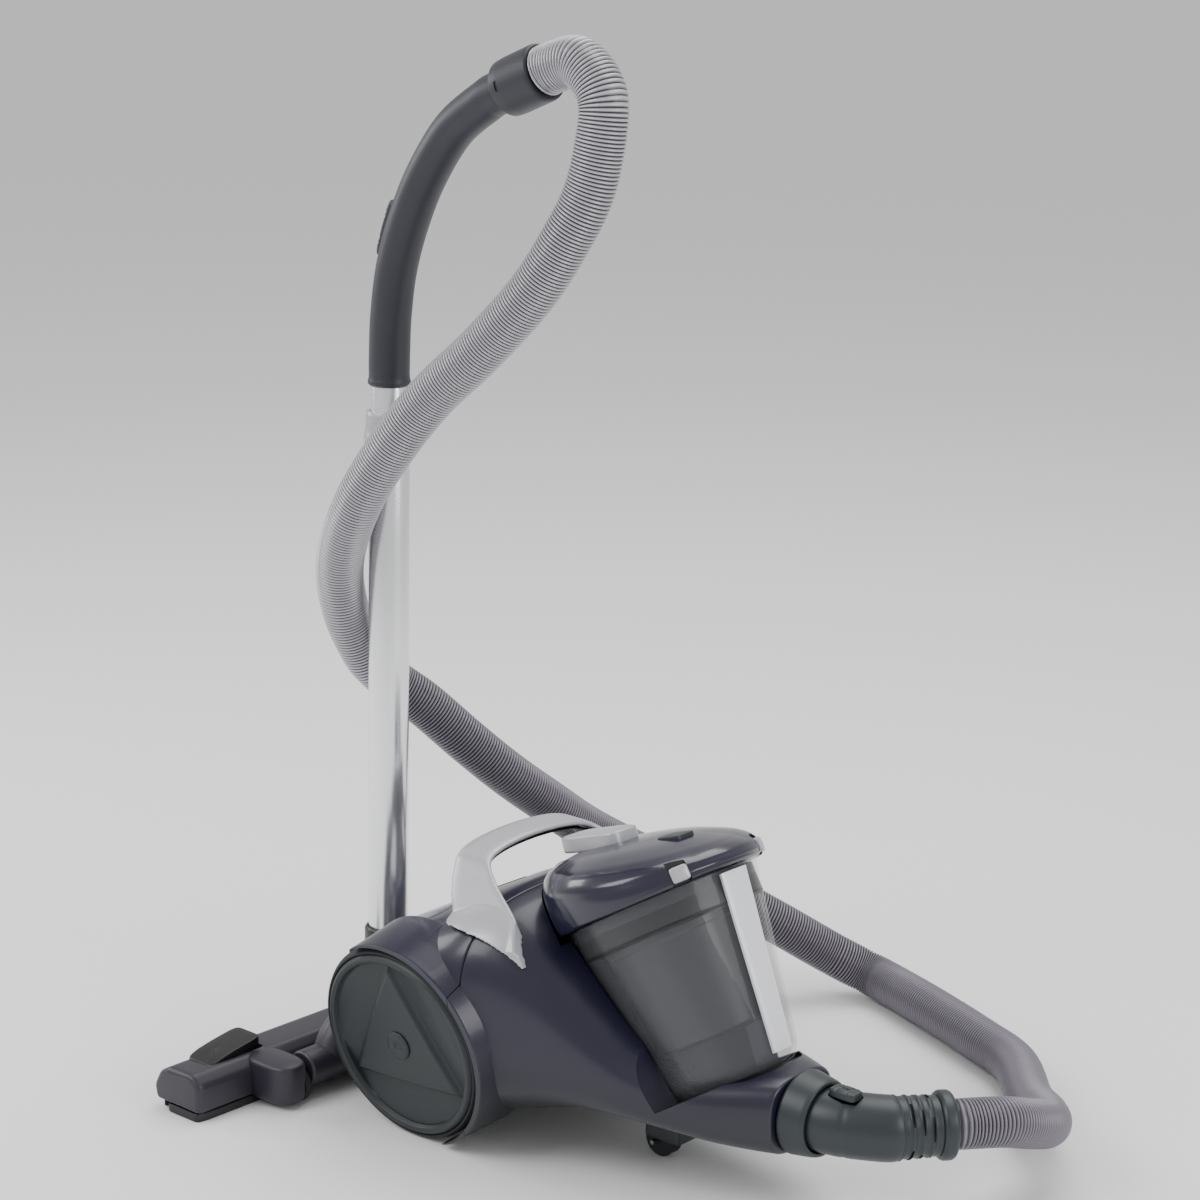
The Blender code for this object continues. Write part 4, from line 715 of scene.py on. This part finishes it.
def makeWheel(side, label):
    # a turned disc whose face carries the raised triangle, a tyre with 72 shallow blocks, and a hub cap
    centre, axis = wheelPlace(side)
    radius, rim, edge = wheel["radius"], wheel["radius"] - 0.0052, wheel["radius"] - 0.0052 - 0.0095
    r = np.concatenate([[0.0], np.linspace(0.002, edge, 72)])
    face = np.stack([r, -0.0036 - 0.0012 * (r / 0.06) ** 2], axis=1)
    lip = rounded([(edge, face[-1, 1]), (rim - 0.0085, -0.0062), (rim - 0.007, -0.0022),
                   (rim - 0.0028, -0.0018),
                   (rim, -0.005), (rim, -0.025), (rim - 0.0048, -0.03), (0.012, -0.03), (0.012, -0.032),
                   (0.0, -0.032)], 0.0012, 4)
    profile = np.vstack([face, lip[1:]])

    def pattern(r, h, angle):
        onFace = (np.arange(len(profile)) < len(face))[:, None]
        return r, np.where(onFace, faceHeight(r, -side * angle, h), h)

    disc = spin("wheel_" + label, profile, wheelSatin, centre, axis, 216, ripple=pattern, sharp=50.0)
    settle(disc, label + "_wheel", "wheel_" + label)
    tread = radius - 0.003
    outline = rounded([(tread, -0.004), (radius, -0.0085), (radius, -0.0195), (tread, -0.024),
                       (rim + 0.0003, -0.024), (rim + 0.0003, -0.004)], 0.0012, 5, closed=True)

    def blocks(r, h, angle):
        dip = smoothStep(np.cos(angle * 72), 0.8, 0.95) * smoothStep(r, radius - 0.0012, radius - 0.0002)
        return r - 0.0006 * dip, h

    tyre = spin("tyre_" + label, outline, softRubber, centre, axis, 432, wrap=True, ripple=blocks, sharp=60.0)
    settle(tyre, label + "_wheel", "tyre_" + label)
    cap = rounded([(0.0, -0.0024), (0.003, -0.0026), (0.004, -0.0016), (0.01, -0.001), (0.0128, -0.0022),
                   (0.013, -0.0034), (0.0, -0.0034)], 0.0006, 4)
    settle(spin("hubCap_" + label, cap, wheelSatin, centre, axis, 64), label + "_wheel", "hub_cap_" + label)


for side, label in bothSides:
    makeWheel(side, label)
print("wheels ready")


def makeDeck():
    # two ridged pedals, and a grille with slots cut through it
    profile = pillowProfile(0.016, -0.005, 0.0052, 0.0018, 0.0008)
    warp = ridged(pedal["ridge"], pedal["spacing"], 0.003, 0.022, 0.013)
    for name, place in pedals.items():
        piece = slab(name + "Cap", *pedal["half"], profile, silverPaint, place, deckFrame, 6.0, 128, warp)
        settle(piece, name.split("_")[0] + "_button", name)
    top = pillowProfile(0.029, -0.003, 0.0031, 0.001, 0.0003)
    piece = slab("exhaustGrille", *grille["half"], top, navyGloss, grille["place"], deckFrame, 9.0, 96)
    slots = [slab("slot", 0.0016, 0.024, [(0, -0.01), (0, 0.01)], blackSatin,
                  grille["place"] + deckFrame[:, 0] * (grille["firstSlot"] + grille["step"] * k), deckFrame,
                  4.0, 24)
             for k in range(grille["slots"])]
    settle(carve(piece, slots), "grille_door", "exhaust_grille")


makeDeck()


handle = {
    "y": (-0.129, -0.118, -0.101, -0.084, -0.07, -0.045, 0.0, 0.045, 0.07, 0.084, 0.101, 0.118, 0.129),
    "z": (0.172, 0.196, 0.218, 0.237, 0.25, 0.258, 0.261, 0.258, 0.25, 0.237, 0.218, 0.196, 0.172),
    "rear": (0.085, 0.048, 0.02, 0.006, 0.0, 0.0, 0.0, 0.0, 0.0, 0.006, 0.02, 0.048, 0.085),
    "front": (0.132, 0.122, 0.096, 0.058, 0.038, 0.034, 0.033, 0.034, 0.038, 0.058, 0.096, 0.122, 0.132),
    "skin": 0.0052, "rows": 121}
legOutline = [
    (-0.02, 0.3), (-0.02, 0.24), (0.004, 0.236), (0.0304, 0.2032), (0.05, 0.2048), (0.072, 0.2034),
    (0.088, 0.1995), (0.102, 0.1938), (0.112, 0.1885), (0.121, 0.1815), (0.11, 0.196), (0.098, 0.213),
    (0.089, 0.229), (0.08, 0.245), (0.07, 0.3)]


def archBand(name, offset, thickness, narrow, finish, trim=0):
    # rectangular sections square to the arch line in the YZ plane, rounded a little at their corners
    knots = np.arange(len(handle["y"]), dtype=float)
    u = np.linspace(trim, knots[-1] - trim, handle["rows"])
    y, z = through(knots, handle["y"], u), through(knots, handle["z"], u)
    rear, front = through(knots, handle["rear"], u) + narrow, through(knots, handle["front"], u) - narrow
    out = np.stack([-np.gradient(z), np.gradient(y)], axis=1)
    out /= np.linalg.norm(out, axis=1, keepdims=True)
    corner = rounded([(0.0, 0.0), (1.0, 0.0), (1.0, -1.0), (0.0, -1.0)], 0.22, 5, closed=True)
    across, down = corner[None, :, 0], corner[None, :, 1] * thickness + offset
    crown = -0.0012 * (2.0 * across - 1.0) ** 2 * (corner[None, :, 1] > -0.5)
    return skin(name, grid(rear[:, None] + (front - rear)[:, None] * across,
                           y[:, None] + out[:, :1] * (down + crown),
                           z[:, None] + out[:, 1:] * (down + crown)), finish)


def wholeBody(grow, finish=None):
    # the body's outer skin from nose to tail, moved out by grow
    x = np.linspace(bodyShape["x"][0] - grow, bodyShape["x"][-1] + grow, 150)
    return bodySkin("wholeBody", x, np.full(len(x), -grow), finish or blackSatin)


def makeHandle():
    # the arch joined to a skin over the body's shoulders, trimmed to the legs' side outline and melted
    # together
    half, far = 0.098, 0.25
    arch = archBand("carryHandle", 0.0, 0.0062, 0.0, silverPaint, 1)
    liner = archBand("handleLiner", -0.0068, 0.003, 0.004, blackSatin, 3)
    legs = wholeBody(handle["skin"], silverPaint)
    carve(legs, [block((-0.3, -half, 0.0), (0.5, half, 0.4), finish=silverPaint)])
    outline = rounded(legOutline, 0.004, 5, closed=True)
    rings = grid(outline[None, :, 0], vec(-far, far)[:, None], outline[None, :, 1])
    middle = vec(0.05, 0.0, 0.225)
    trimmer = skin("legTrim", rings, silverPaint, ends=(middle - vec(0, far, 0), middle + vec(0, far, 0)))
    carve(arch, [legs], "UNION")
    carve(arch, [trimmer], "INTERSECT")
    carve(arch, [wholeBody(0.0004), binRoom(0.003)])
    settle(melt(arch, 0.001, 14), "chassis", "carry_handle")
    settle(carve(liner, [wholeBody(0.0004)]), "chassis", "handle_liner")


makeHandle()
print("deck and handle ready")


strip = {"spread": 10.5, "from": 0.012, "to": 0.164, "lift": 0.0034, "crown": 0.001, "gap": 0.0004}


def onBin(name, profile, finish, steps, wrap=False):
    # a profile (r, h) turned round the bin's own leaning axis
    return spin(name, profile, finish, dustBin["foot"], binUp, steps, wrap)


def binRadius(h):
    # the cup widens evenly from foot to top
    return dustBin["footRadius"] + (dustBin["topRadius"] - dustBin["footRadius"]) * h / dustBin["height"]


def makeBin():
    # a tapered clear cup, a crowned strip down its front, the shroud inside and the seal under the lid
    wall, top, foot = dustBin["wall"], dustBin["height"] - 0.0003, dustBin["footRadius"]
    profile = rounded([(0.0, wall), (foot - 0.011, wall), (binRadius(0.013) - wall, 0.013),
                       (binRadius(top) - wall, top), (binRadius(top), top), (binRadius(0.012), 0.012),
                       (foot - 0.003, 0.003), (foot - 0.01, 0.0), (0.0, 0.0)], 0.0035, 6)
    settle(onBin("binShell", profile, clearShell, 160), "bin", "bin_shell")
    h = np.linspace(strip["from"], strip["to"], 40)[:, None]
    spread = np.radians(np.linspace(-strip["spread"], strip["spread"], 17))[None, :]
    crown = strip["crown"] * (1.0 - (np.degrees(spread) / strip["spread"]) ** 4) * smoothStep(h, 0.012, 0.02)
    outer, inner = (grid(r * np.cos(spread), r * np.sin(spread), h)
                    for r in (binRadius(h) + (strip["lift"] + crown), binRadius(h) + strip["gap"]))
    rings = np.concatenate([outer, inner[:, ::-1]], axis=1) @ binFrame.T + dustBin["foot"]
    settle(skin("binFrontStrip", rings, paleGloss, sharp=50.0), "bin", "bin_front_strip")
    shroud = rounded([(0.0, 0.162), (0.064, 0.162), (0.064, 0.133), (0.0628, 0.1315), (0.056, 0.045),
                      (0.048, 0.041), (0.0, 0.041)], 0.0015, 5)
    settle(onBin("cycloneShroud", shroud, smokedPanel, 128), "lid", "cyclone_shroud")
    seal = binRadius(0.16)
    ring = rounded([(seal - 0.0031, 0.1665), (seal - 0.0031, 0.14), (seal - 0.006, 0.138),
                    (seal - 0.0085, 0.14), (seal - 0.0085, 0.1665)], 0.001, 4, closed=True)
    settle(onBin("binSeal", ring, blackSatin, 128, True), "bin", "bin_seal")


makeBin()


lid = {"base": 0.1683, "slope": 0.25, "crown": 0.053, "latchAngle": math.radians(34.0), "latchInset": 0.0045,
       "latchRise": 0.015, "facet": 0.0016, "button": (0.043, 0, 0), "handle": (-0.044, 0, 0),
       "handleFoot": (-0.052, 0, 0)}
lidTop = dustBin["foot"] + binUp * (lid["base"] + lid["crown"])
lidFrame = frameOf(binUp + binFront * lid["slope"], binFront)


def lidSkin():
    # rings shrink and tip towards level as they rise; a shallow cove runs round below the crown
    s = vec(0.0, 0.06, 0.12, 0.42, 0.5, 0.56, 0.66, 0.78, 0.9, 1.0)
    scale = vec(0.978, 0.994, 1.0, 1.0, 0.985, 0.955, 0.9, 0.8, 0.55, 0.25)
    rise = vec(0.0, 0.0016, 0.004, 0.022, 0.029, 0.034, 0.0392, 0.044, 0.05, 0.053)
    tilt = vec(0.0, 0.0, 0.01, 0.14, 0.175, 0.2, 0.225, 0.24, 0.25, 0.25)
    fine = np.linspace(0.0, 1.0, 90)
    scale, rise, tilt = (through(s, v, fine)[:, None] for v in (scale, rise, tilt))
    angle = around(192)
    facet = lid["facet"] * smoothStep(fine, 0.45, 0.6)[:, None] * (1 - smoothStep(fine, 0.8, 0.92)[:, None])
    radius = dustBin["lidRadius"] * scale - facet * (1.0 - np.abs(np.cos(angle * 4.0)))
    x, y = radius * np.cos(angle), radius * np.sin(angle)
    local = grid(x, y, lid["base"] + rise - tilt * x)
    ends = [dustBin["foot"] + binUp * lid["base"], lidTop]
    return skin("binLid", local @ binFrame.T + dustBin["foot"], lidGloss, ends=ends)


def lidSlab(name, centre, halfLength, halfWidth, profile, finish=None, square=5.0):
    # a slab that lies on the crown of the lid; with no finish given it is a cutter
    return slab(name, halfLength, halfWidth, profile, finish or blackSatin, lidTop + lidFrame @ vec(*centre),
                lidFrame, square, 72)


def latchPlace(side):
    # the clip's hinge, a little inside the lid's edge, and the way out from the bin there
    turn = lid["latchAngle"]
    outward = binFront * math.cos(turn) + vec(0.0, side * math.sin(turn), 0.0)
    return (dustBin["foot"] + outward * (dustBin["lidRadius"] - lid["latchInset"])
            + binUp * (dustBin["height"] + lid["latchRise"]), outward)


def makeLid():
    # the lid with rooms for what sits in it, the release button, two clips and the handle bar on its foot
    cuts = [lidSlab("buttonRoom", lid["button"], 0.013, 0.0125, [(0, -0.01), (0, 0.03)]),
            lidSlab("handleRoom", lid["handleFoot"], 0.0083, 0.0133, [(0, -0.0123), (0, 0.03)], square=9.0)]
    for side, label in bothSides:
        hinge, outward = latchPlace(side)
        cuts.append(block((-0.0006, -0.0086, -0.019), (0.0195, 0.0086, 0.012), hinge,
                          frameOf(binUp, outward)))
    settle(carve(lidSkin(), cuts), "lid", "bin_lid")
    cap = pillowProfile(0.012, -0.0068, 0.0008, 0.001, 0.0006)
    settle(lidSlab("binReleaseButton", lid["button"], 0.0126, 0.0121, cap, slateSatin), "bin_button",
           "bin_release_button")
    clip, drop = pillowProfile(0.0062, 0.0, 0.0076, 0.0014, 0.001), 0.0065
    for side, label in bothSides:
        hinge, outward = latchPlace(side)
        piece = slab("lidLatch_" + label, drop, 0.008, clip, silverPaint, hinge - binUp * drop,
                     frameOf(outward, -binUp), 6.0, 64)
        settle(piece, label + "_latch", "lid_latch_" + label)
    bar = pillowProfile(0.018, -0.004, 0.0112, 0.0026, 0.0012)
    grip = lidSlab("binHandle", lid["handle"], 0.034, 0.02, bar, silverPaint, 4.0)
    foot = lidSlab("binHandleFoot", lid["handleFoot"], 0.008, 0.013, [(0, -0.012), (0, 0.008)], square=9.0)
    settle(carve(grip, [foot], "UNION"), "lid", "bin_handle")


makeLid()
print("bin and lid ready")


elbow = {"radius": 0.0275, "bore": 0.0215, "button": (0.3725, 0.0, 0.1092),
         "seams": ((0.64, 0.01), (0.985, 0.012))}
sleeve = {"radius": 0.0258, "length": 0.034, "taper": 0.0006, "rib": 0.0011, "ribStep": 0.0085, "slots": 4}
elbowRoute = [(0.304, 0.0, 0.0845), (0.33, 0.0, 0.084), (0.347, 0.0, 0.0838), (0.36, 0.0016, 0.0837),
              (0.374, 0.0062, 0.0836), (0.39, 0.0145, 0.0836)]


def makeConnector():
    # the socket's collar, the bent elbow with its button, and the ribbed sleeve and ring that turn on
    # the hose
    collar = rounded([(0.032, 0.354), (0.0335, 0.35), (0.0365, 0.331), (0.0355, 0.3287), (0.0289, 0.3287),
                      (0.0289, 0.354)], 0.0012, 5, closed=True)
    settle(spin("inletSocket", collar, slateSatin, (0, 0, inlet["height"]), (1, 0, 0), 128, wrap=True),
           "chassis", "inlet_socket")
    line = route([vec(*p) for p in elbowRoute] + [elbowEnd - sleeveWay * 0.007, elbowEnd], 0.0016)
    s = np.linspace(0.0, 1.0, len(line))
    seam = 0.0007 * sum(np.exp(-((s - place) / width) ** 2) for place, width in elbow["seams"])
    piece = pipe("hoseConnector", line, elbow["radius"] - seam, slateSatin, 96, elbow["bore"])
    seat = slab("seat", 0.0136, 0.0086, [(0, -0.0022), (0, 0.02)], blackSatin, elbow["button"], level, 6.0,
                48)
    settle(carve(piece, [seat]), "chassis", "hose_connector")
    cap = slab("connectorButton", 0.013, 0.008, pillowProfile(0.008, 0.0, 0.0076, 0.0016, 0.0009), slateSatin,
               elbow["button"], level, 5.0, 96, ridged(0.0003, 0.0036, 0.0055, 0.009))
    settle(cap, "hose_release", "connector_button")
    start, long, step = elbowEnd + sleeveWay * 0.0003, sleeve["length"], sleeve["ribStep"]
    h = np.linspace(0.0, long, 60)
    ribs = sleeve["rib"] * np.maximum(np.cos(fullTurn * (h - step) / step), -0.2)
    ribs = ribs * smoothStep(h, 0.004, 0.008) * (1 - smoothStep(h, 0.029, 0.033))
    radius = sleeve["radius"] + ribs - sleeve["taper"] * smoothStep(h, 0.0, long)
    profile = np.vstack([np.stack([radius, h], axis=1), [(0.0222, long), (0.0218, 0.0)]])
    piece = spin("hoseSleeve", profile, slateSatin, start, sleeveWay, 128, wrap=True)
    basis = frameOf(sleeveWay, (0, 0, 1))
    slots = []
    for row in range(3):
        for k in range(sleeve["slots"]):
            angle = halfTurn * (0.25 + 0.5 * k + 0.08 * row)
            out = basis @ vec(math.cos(angle), math.sin(angle), 0.0)
            slots.append(slab("slot", 0.0013, 0.0105, [(0, 0.0236), (0, 0.032)], blackSatin,
                              start + sleeveWay * (step * (row + 1)), frameOf(out, sleeveWay), 4.0, 24))
    settle(carve(piece, slots), "sleeve", "hose_sleeve")
    ring = rounded([(0.0268, 0.0), (0.029, 0.003), (0.029, 0.01), (0.0272, 0.013), (0.017, 0.013),
                    (0.017, 0.0)], 0.0016, 6, closed=True)
    settle(spin("connectorRing", ring, slateSatin, start + sleeveWay * 0.0343, sleeveWay, 128, wrap=True),
           "sleeve", "connector_ring")


makeConnector()
print("inlet and elbow ready")


tubes = {"lower": 0.018, "upper": 0.016, "wall": 0.001, "foot": 0.1, "shoulder": 0.586, "upperFoot": 0.23,
         "collarLow": 0.572, "collarHigh": 0.616, "gripFoot": 0.638}


wandFoot = (wand["x"], wand["y"], 0.0)


def wandRing(name, profile, finish):
    # a closed outline (r, z) carried round the tube's own line
    return spin(name, profile, finish, wandFoot, (0, 0, 1), 112, wrap=True)


def makeWand():
    # two thin tubes, one inside the other, the collar that holds them with its latch, and the collar at
    # the foot
    low, high, gap, wall = tubes["collarLow"], tubes["collarHigh"], 0.0003, tubes["wall"]
    for name, r, top, foot, body in (("lower_tube", tubes["lower"], tubes["shoulder"], tubes["foot"], "wand"),
                                     ("upper_tube", tubes["upper"], tubes["gripFoot"] + 0.016,
                                      tubes["upperFoot"], "wand_top")):
        outline = rounded([(r, top), (r, foot), (r - wall, foot), (r - wall, top)], 0.0003, 3, True)
        settle(wandRing(name + "Bright", outline, brightTube), body, name)
    fit, inner, shoulder = tubes["lower"] + gap, tubes["upper"] + gap, tubes["shoulder"] + gap
    outline = rounded([(0.0196, high), (0.0206, high - 0.004), (0.021, low + 0.026), (0.022, low + 0.022),
                       (0.022, low + 0.006), (0.0205, low), (fit, low), (fit, shoulder), (inner, shoulder),
                       (inner, high)], 0.001, 4, True)
    seat = block((-0.03, -0.0065, low + 0.005), (-0.0195, 0.0065, low + 0.0275), wandFoot)
    settle(carve(wandRing("telescopicCollar", outline, silverPaint), [seat]), "wand", "telescopic_collar")
    latch = slab("tubeLatch", 0.008, 0.006, pillowProfile(0.006, -0.0015, 0.004, 0.0012, 0.0006), blackSatin,
                 (wand["x"] - 0.0215, wand["y"], low + 0.019), frameOf((-1, 0, 0), (0, 0, 1)), 5.0, 64)
    settle(latch, "tube_release", "tube_latch")
    outline = rounded([(0.0196, 0.142), (0.0215, 0.1395), (0.0215, 0.122), (0.0208, 0.121), (0.0208, 0.118),
                       (0.0215, 0.117), (0.0215, 0.1003), (0.0183, 0.1003), (0.0183, 0.142)], 0.0008, 4, True)
    settle(wandRing("neckCollar", outline, blackSatin), "wand", "neck_collar")


makeWand()


gripRoute = [(-0.12, 0.638), (-0.1198, 0.665), (-0.118, 0.7), (-0.1115, 0.74), (-0.0975, 0.781),
             (-0.076, 0.823), (-0.044, 0.864), (-0.006, 0.8905)]
slider = {"place": vec(-0.102, wand["y"], 0.768), "way": (0.33, 0.0, 0.944)}


def makeGrip():
    # a curved tube with a lip at its foot, the thumb slider in its seat, and the cuff that turns at its end
    points = [vec(x, wand["y"], z) for x, z in gripRoute] + [gripEnd - cuffAxis * 0.01, gripEnd]
    line = route(points, 0.0016)
    s = np.concatenate([[0.0], np.cumsum(np.linalg.norm(np.diff(line, axis=0), axis=1))])
    lip = 0.0008 * (1 - smoothStep(s, 0.004, 0.007)) - 0.0006 * np.exp(-((s - 0.0105) / 0.0006) ** 2)
    lip -= 0.0016 * (1 - smoothStep(s, 0.0, 0.0012))
    outer = 0.018 + lip - 0.001 * smoothStep(s, s[-1] - 0.0014, s[-1])
    grip = pipe("handleGrip", line, outer, gripSatin, 96, np.where(s < 0.0165, 0.0163, 0.014))
    basis = frameOf(slider["way"], (0.944, 0.0, -0.33))
    out = frameOf(-basis[:, 0], basis[:, 2])
    seat = slab("seat", 0.0345, 0.0078, [(0, 0.0165), (0, 0.03)], blackSatin, slider["place"], out, 5.0, 64)
    settle(carve(grip, [seat]), "wand_top", "handle_grip")
    thumb = slab("suctionSlider", 0.026, 0.007, pillowProfile(0.007, 0.017, 0.023, 0.0016, 0.0008), gripSatin,
                 slider["place"], out, 5.0, 128, ridged(0.00045, 0.0042, 0.021, 0.018))
    settle(thumb, "air_slider", "suction_slider")
    outline = rounded([(0.0206, 0.0), (0.024, 0.0034), (0.0246, 0.012), (0.0246, 0.043), (0.0236, 0.046),
                       (0.015, 0.046), (0.015, 0.0)], 0.0014, 5, closed=True)
    cuff = spin("swivelCuff", outline, gripSatin, gripEnd + cuffAxis * 0.0006, cuffAxis, 128, wrap=True)
    mark = slab("mark", 0.0016, 0.0045, [(0, 0.0236), (0, 0.03)], blackSatin, gripEnd + cuffAxis * 0.012,
                frameOf((0.0, -1.0, 0.0), cuffAxis), 4.0, 32)
    settle(carve(cuff, [mark]), "cuff", "swivel_cuff")


makeGrip()
print("wand and grip ready")


nozzle = {"y": -0.1, "length": 0.274, "x": (-0.214, -0.152), "top": 0.043, "under": 0.0083, "edge": 0.006,
          "barrel": vec(-0.131, -0.1, 0.027), "cheek": 0.055, "pedal": (-0.184, -0.178),
          "pedalHeight": 0.0445, "pedalTilt": math.radians(9.0)}
roller = {"y": 0.0392, "z": 0.016, "room": 0.0186, "halfRoom": 0.0062}


def nozzleHead():
    # side outline (x, z) carried along y, drawn in at both ends by a quarter round
    (x0, x1), top, under, half = nozzle["x"], nozzle["top"], nozzle["under"], nozzle["length"] / 2
    outline = rounded([(x0 + 0.004, under), (x1, under), (x1, 0.034), (x1 - 0.01, top),
                       (x0 + 0.02, top - 0.001),
                       (x0 + 0.008, 0.035), (x0 + 0.001, 0.021)], 0.004, 7, closed=True)
    middle = vec((x0 + x1) / 2, 0.026)
    y, inset = softEnds(-half, half, 90, nozzle["edge"], 8)
    away = outline - middle
    shrink = 1.0 - inset[:, None] / np.linalg.norm(away, axis=1)[None, :]
    x, z = np.moveaxis(middle + away[None] * shrink[..., None], -1, 0)
    return skin("nozzleBody", grid(x, (nozzle["y"] + y)[:, None], np.maximum(z, under)), mauveSatin,
                sharp=40.0)


def makeNozzle():
    # the head with its saddle, cheeks and rooms, the sole, the brush and pedal, then the neck and the rollers
    x0, yMid, half = nozzle["x"][0], nozzle["y"], nozzle["length"] / 2
    bx, by, bz = barrel = nozzle["barrel"]
    across = (0, 1, 0)
    head = nozzleHead()
    saddle = slab("saddle", 0.0225, 0.034, pillowProfile(0.02, 0.01, 0.03, 0.003, 0.001), mauveSatin,
                  (-0.1575, yMid, 0.0), level, 8.0)
    carve(head, [saddle], "UNION")
    carve(head, [rod(0.018, 0.2, -0.2, barrel, across, 64)])
    profile = pillowProfile(0.018, 0.005, 0.044, 0.015, 0.003)
    carve(head, [slab("cheek", 0.031, 0.0185, profile, mauveSatin,
                      (-0.143, yMid + side * nozzle["cheek"], 0.0),
                      level, 2.8) for side, label in bothSides], "UNION")
    room, width = roller["room"], roller["halfRoom"]
    cuts = [rod(room, width, -width, (bx, by + side * roller["y"], roller["z"]), across, 48)
            for side, label in bothSides]
    cuts += [block((bx - room, yMid + side * roller["y"] - width, -0.01),
                   (bx + room, yMid + side * roller["y"] + width, roller["z"])) for side, label in bothSides]
    cuts.append(slab("pocket", 0.0175, 0.0335, [(0, 0.03), (0, 0.08)], blackSatin, (*nozzle["pedal"], 0.0),
                     level, 9.0, 64))
    cuts.append(block((x0 + 0.007, yMid - half + 0.004, -0.01), (x0 + 0.015, yMid + half - 0.004, 0.018)))
    settle(carve(head, cuts), "head", "nozzle_body")
    sole = slab("nozzleSole", 0.022, half - 0.001, pillowProfile(0.02, 0.0, 0.008, 0.0014), blackSatin,
                (x0 + 0.0388, yMid, 0.0), level, 14.0, 128)
    mouth = block((x0 + 0.022, yMid - half + 0.016, -0.01), (x0 + 0.036, yMid + half - 0.016, 0.0045))
    settle(carve(sole, [mouth]), "head", "nozzle_sole")
    brush = slab("brushStrip", 0.0025, half - 0.006, pillowProfile(0.0022, 0.0012, 0.0125, 0.0006), bristle,
                 (x0 + 0.011, yMid, 0.0), level, 9.0, 160)
    settle(brush, "brush", "brush_strip")
    tilt = nozzle["pedalTilt"]

    def rocker(p):
        # the near end bends down with the square of its distance
        return p - grid(0.0, 0.0, np.where(p[..., 1] < 0, 0.003 * (p[..., 1] / 0.031) ** 2, 0.0))

    piece = slab("nozzlePedal", 0.0165, 0.031, pillowProfile(0.016, -0.003, 0.0052, 0.0014, 0.0006),
                 blackSatin,
                 (*nozzle["pedal"], nozzle["pedalHeight"]), frameOf((0.0, -math.sin(tilt), math.cos(tilt))),
                 7.0, 128, rocker)
    settle(piece, "floor_pedal", "nozzle_pedal")
    wandX, wandY = wand["x"], wand["y"]
    arm = [(bx, by, bz + 0.002), (bx + 0.001, by + 0.01, 0.046), (bx + 0.004, by + 0.029, 0.066),
           (bx + 0.008, by + 0.048, 0.08), (wandX, wandY - 0.004, 0.094), (wandX, wandY - 0.001, 0.104)]
    line = route([vec(*p) for p in arm], 0.0016)
    s = np.linspace(0.0, 1.0, len(line))
    swell = 0.0165 + 0.0012 * smoothStep(s, 0.7, 0.8) - 0.0006 * np.exp(-((s - 0.66) / 0.008) ** 2)
    neck = pipe("nozzleNeck", line, swell, mauveSatin, 96)
    drum = spin("barrelDrum", rounded([(0.0, 0.0335), (0.015, 0.0335), (0.0168, 0.0315), (0.0168, -0.0315),
                                       (0.015, -0.0335), (0.0, -0.0335)], 0.001, 5), mauveSatin, barrel,
                                       across)
    carve(neck, [drum, rod(0.0195, 0.107, 0.09, wandFoot, finish=mauveSatin)], "UNION")
    trim = rod(0.03, 0.2, 0.0997, wandFoot, steps=64, finish=mauveSatin)
    settle(carve(neck, [trim]), "neck", "nozzle_neck")
    tread = rounded([(0.0, 0.0045), (0.006, 0.0045), (0.007, 0.0034), (0.012, 0.0034), (0.016, 0.0036),
                     (0.016, -0.0036), (0.012, -0.0045), (0.0, -0.0045)], 0.0012, 5)
    for side, label in bothSides:
        piece = spin("nozzleRoller_" + label, tread, softRubber, (bx, by + side * roller["y"], roller["z"]),
                     (0, side, 0), 96)
        settle(piece, label + "_roller", "nozzle_roller_" + label)


makeNozzle()
print("floor nozzle ready")


# the underside, the inside and small fittings keep their shapes and take a finish
plainFinishes = {
    "lower_chassis": slateSatin, "motor_can": plainSteel, "motor_seal": softRubber,
    "pre_motor_filter": pleatedFilter,
    "exhaust_filter": pleatedFilter, "reel_axle": plainSteel, "cord_outlet": blackSatin,
    "wheel_axle_right": plainSteel, "wheel_axle_left": plainSteel, "parking_bracket": blackSatin,
    "caster_fork": slateSatin, "caster_pin": plainSteel, "caster_wheel": softRubber,
    "impeller_rotor": plainSteel,
    "cord_reel": blackSatin}


def finishPlainNodes():
    for name, finish in plainFinishes.items():
        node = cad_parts[name]
        node.data.materials.clear()
        node.data.materials.append(finish)


finishPlainNodes()
print("plain pieces finished")
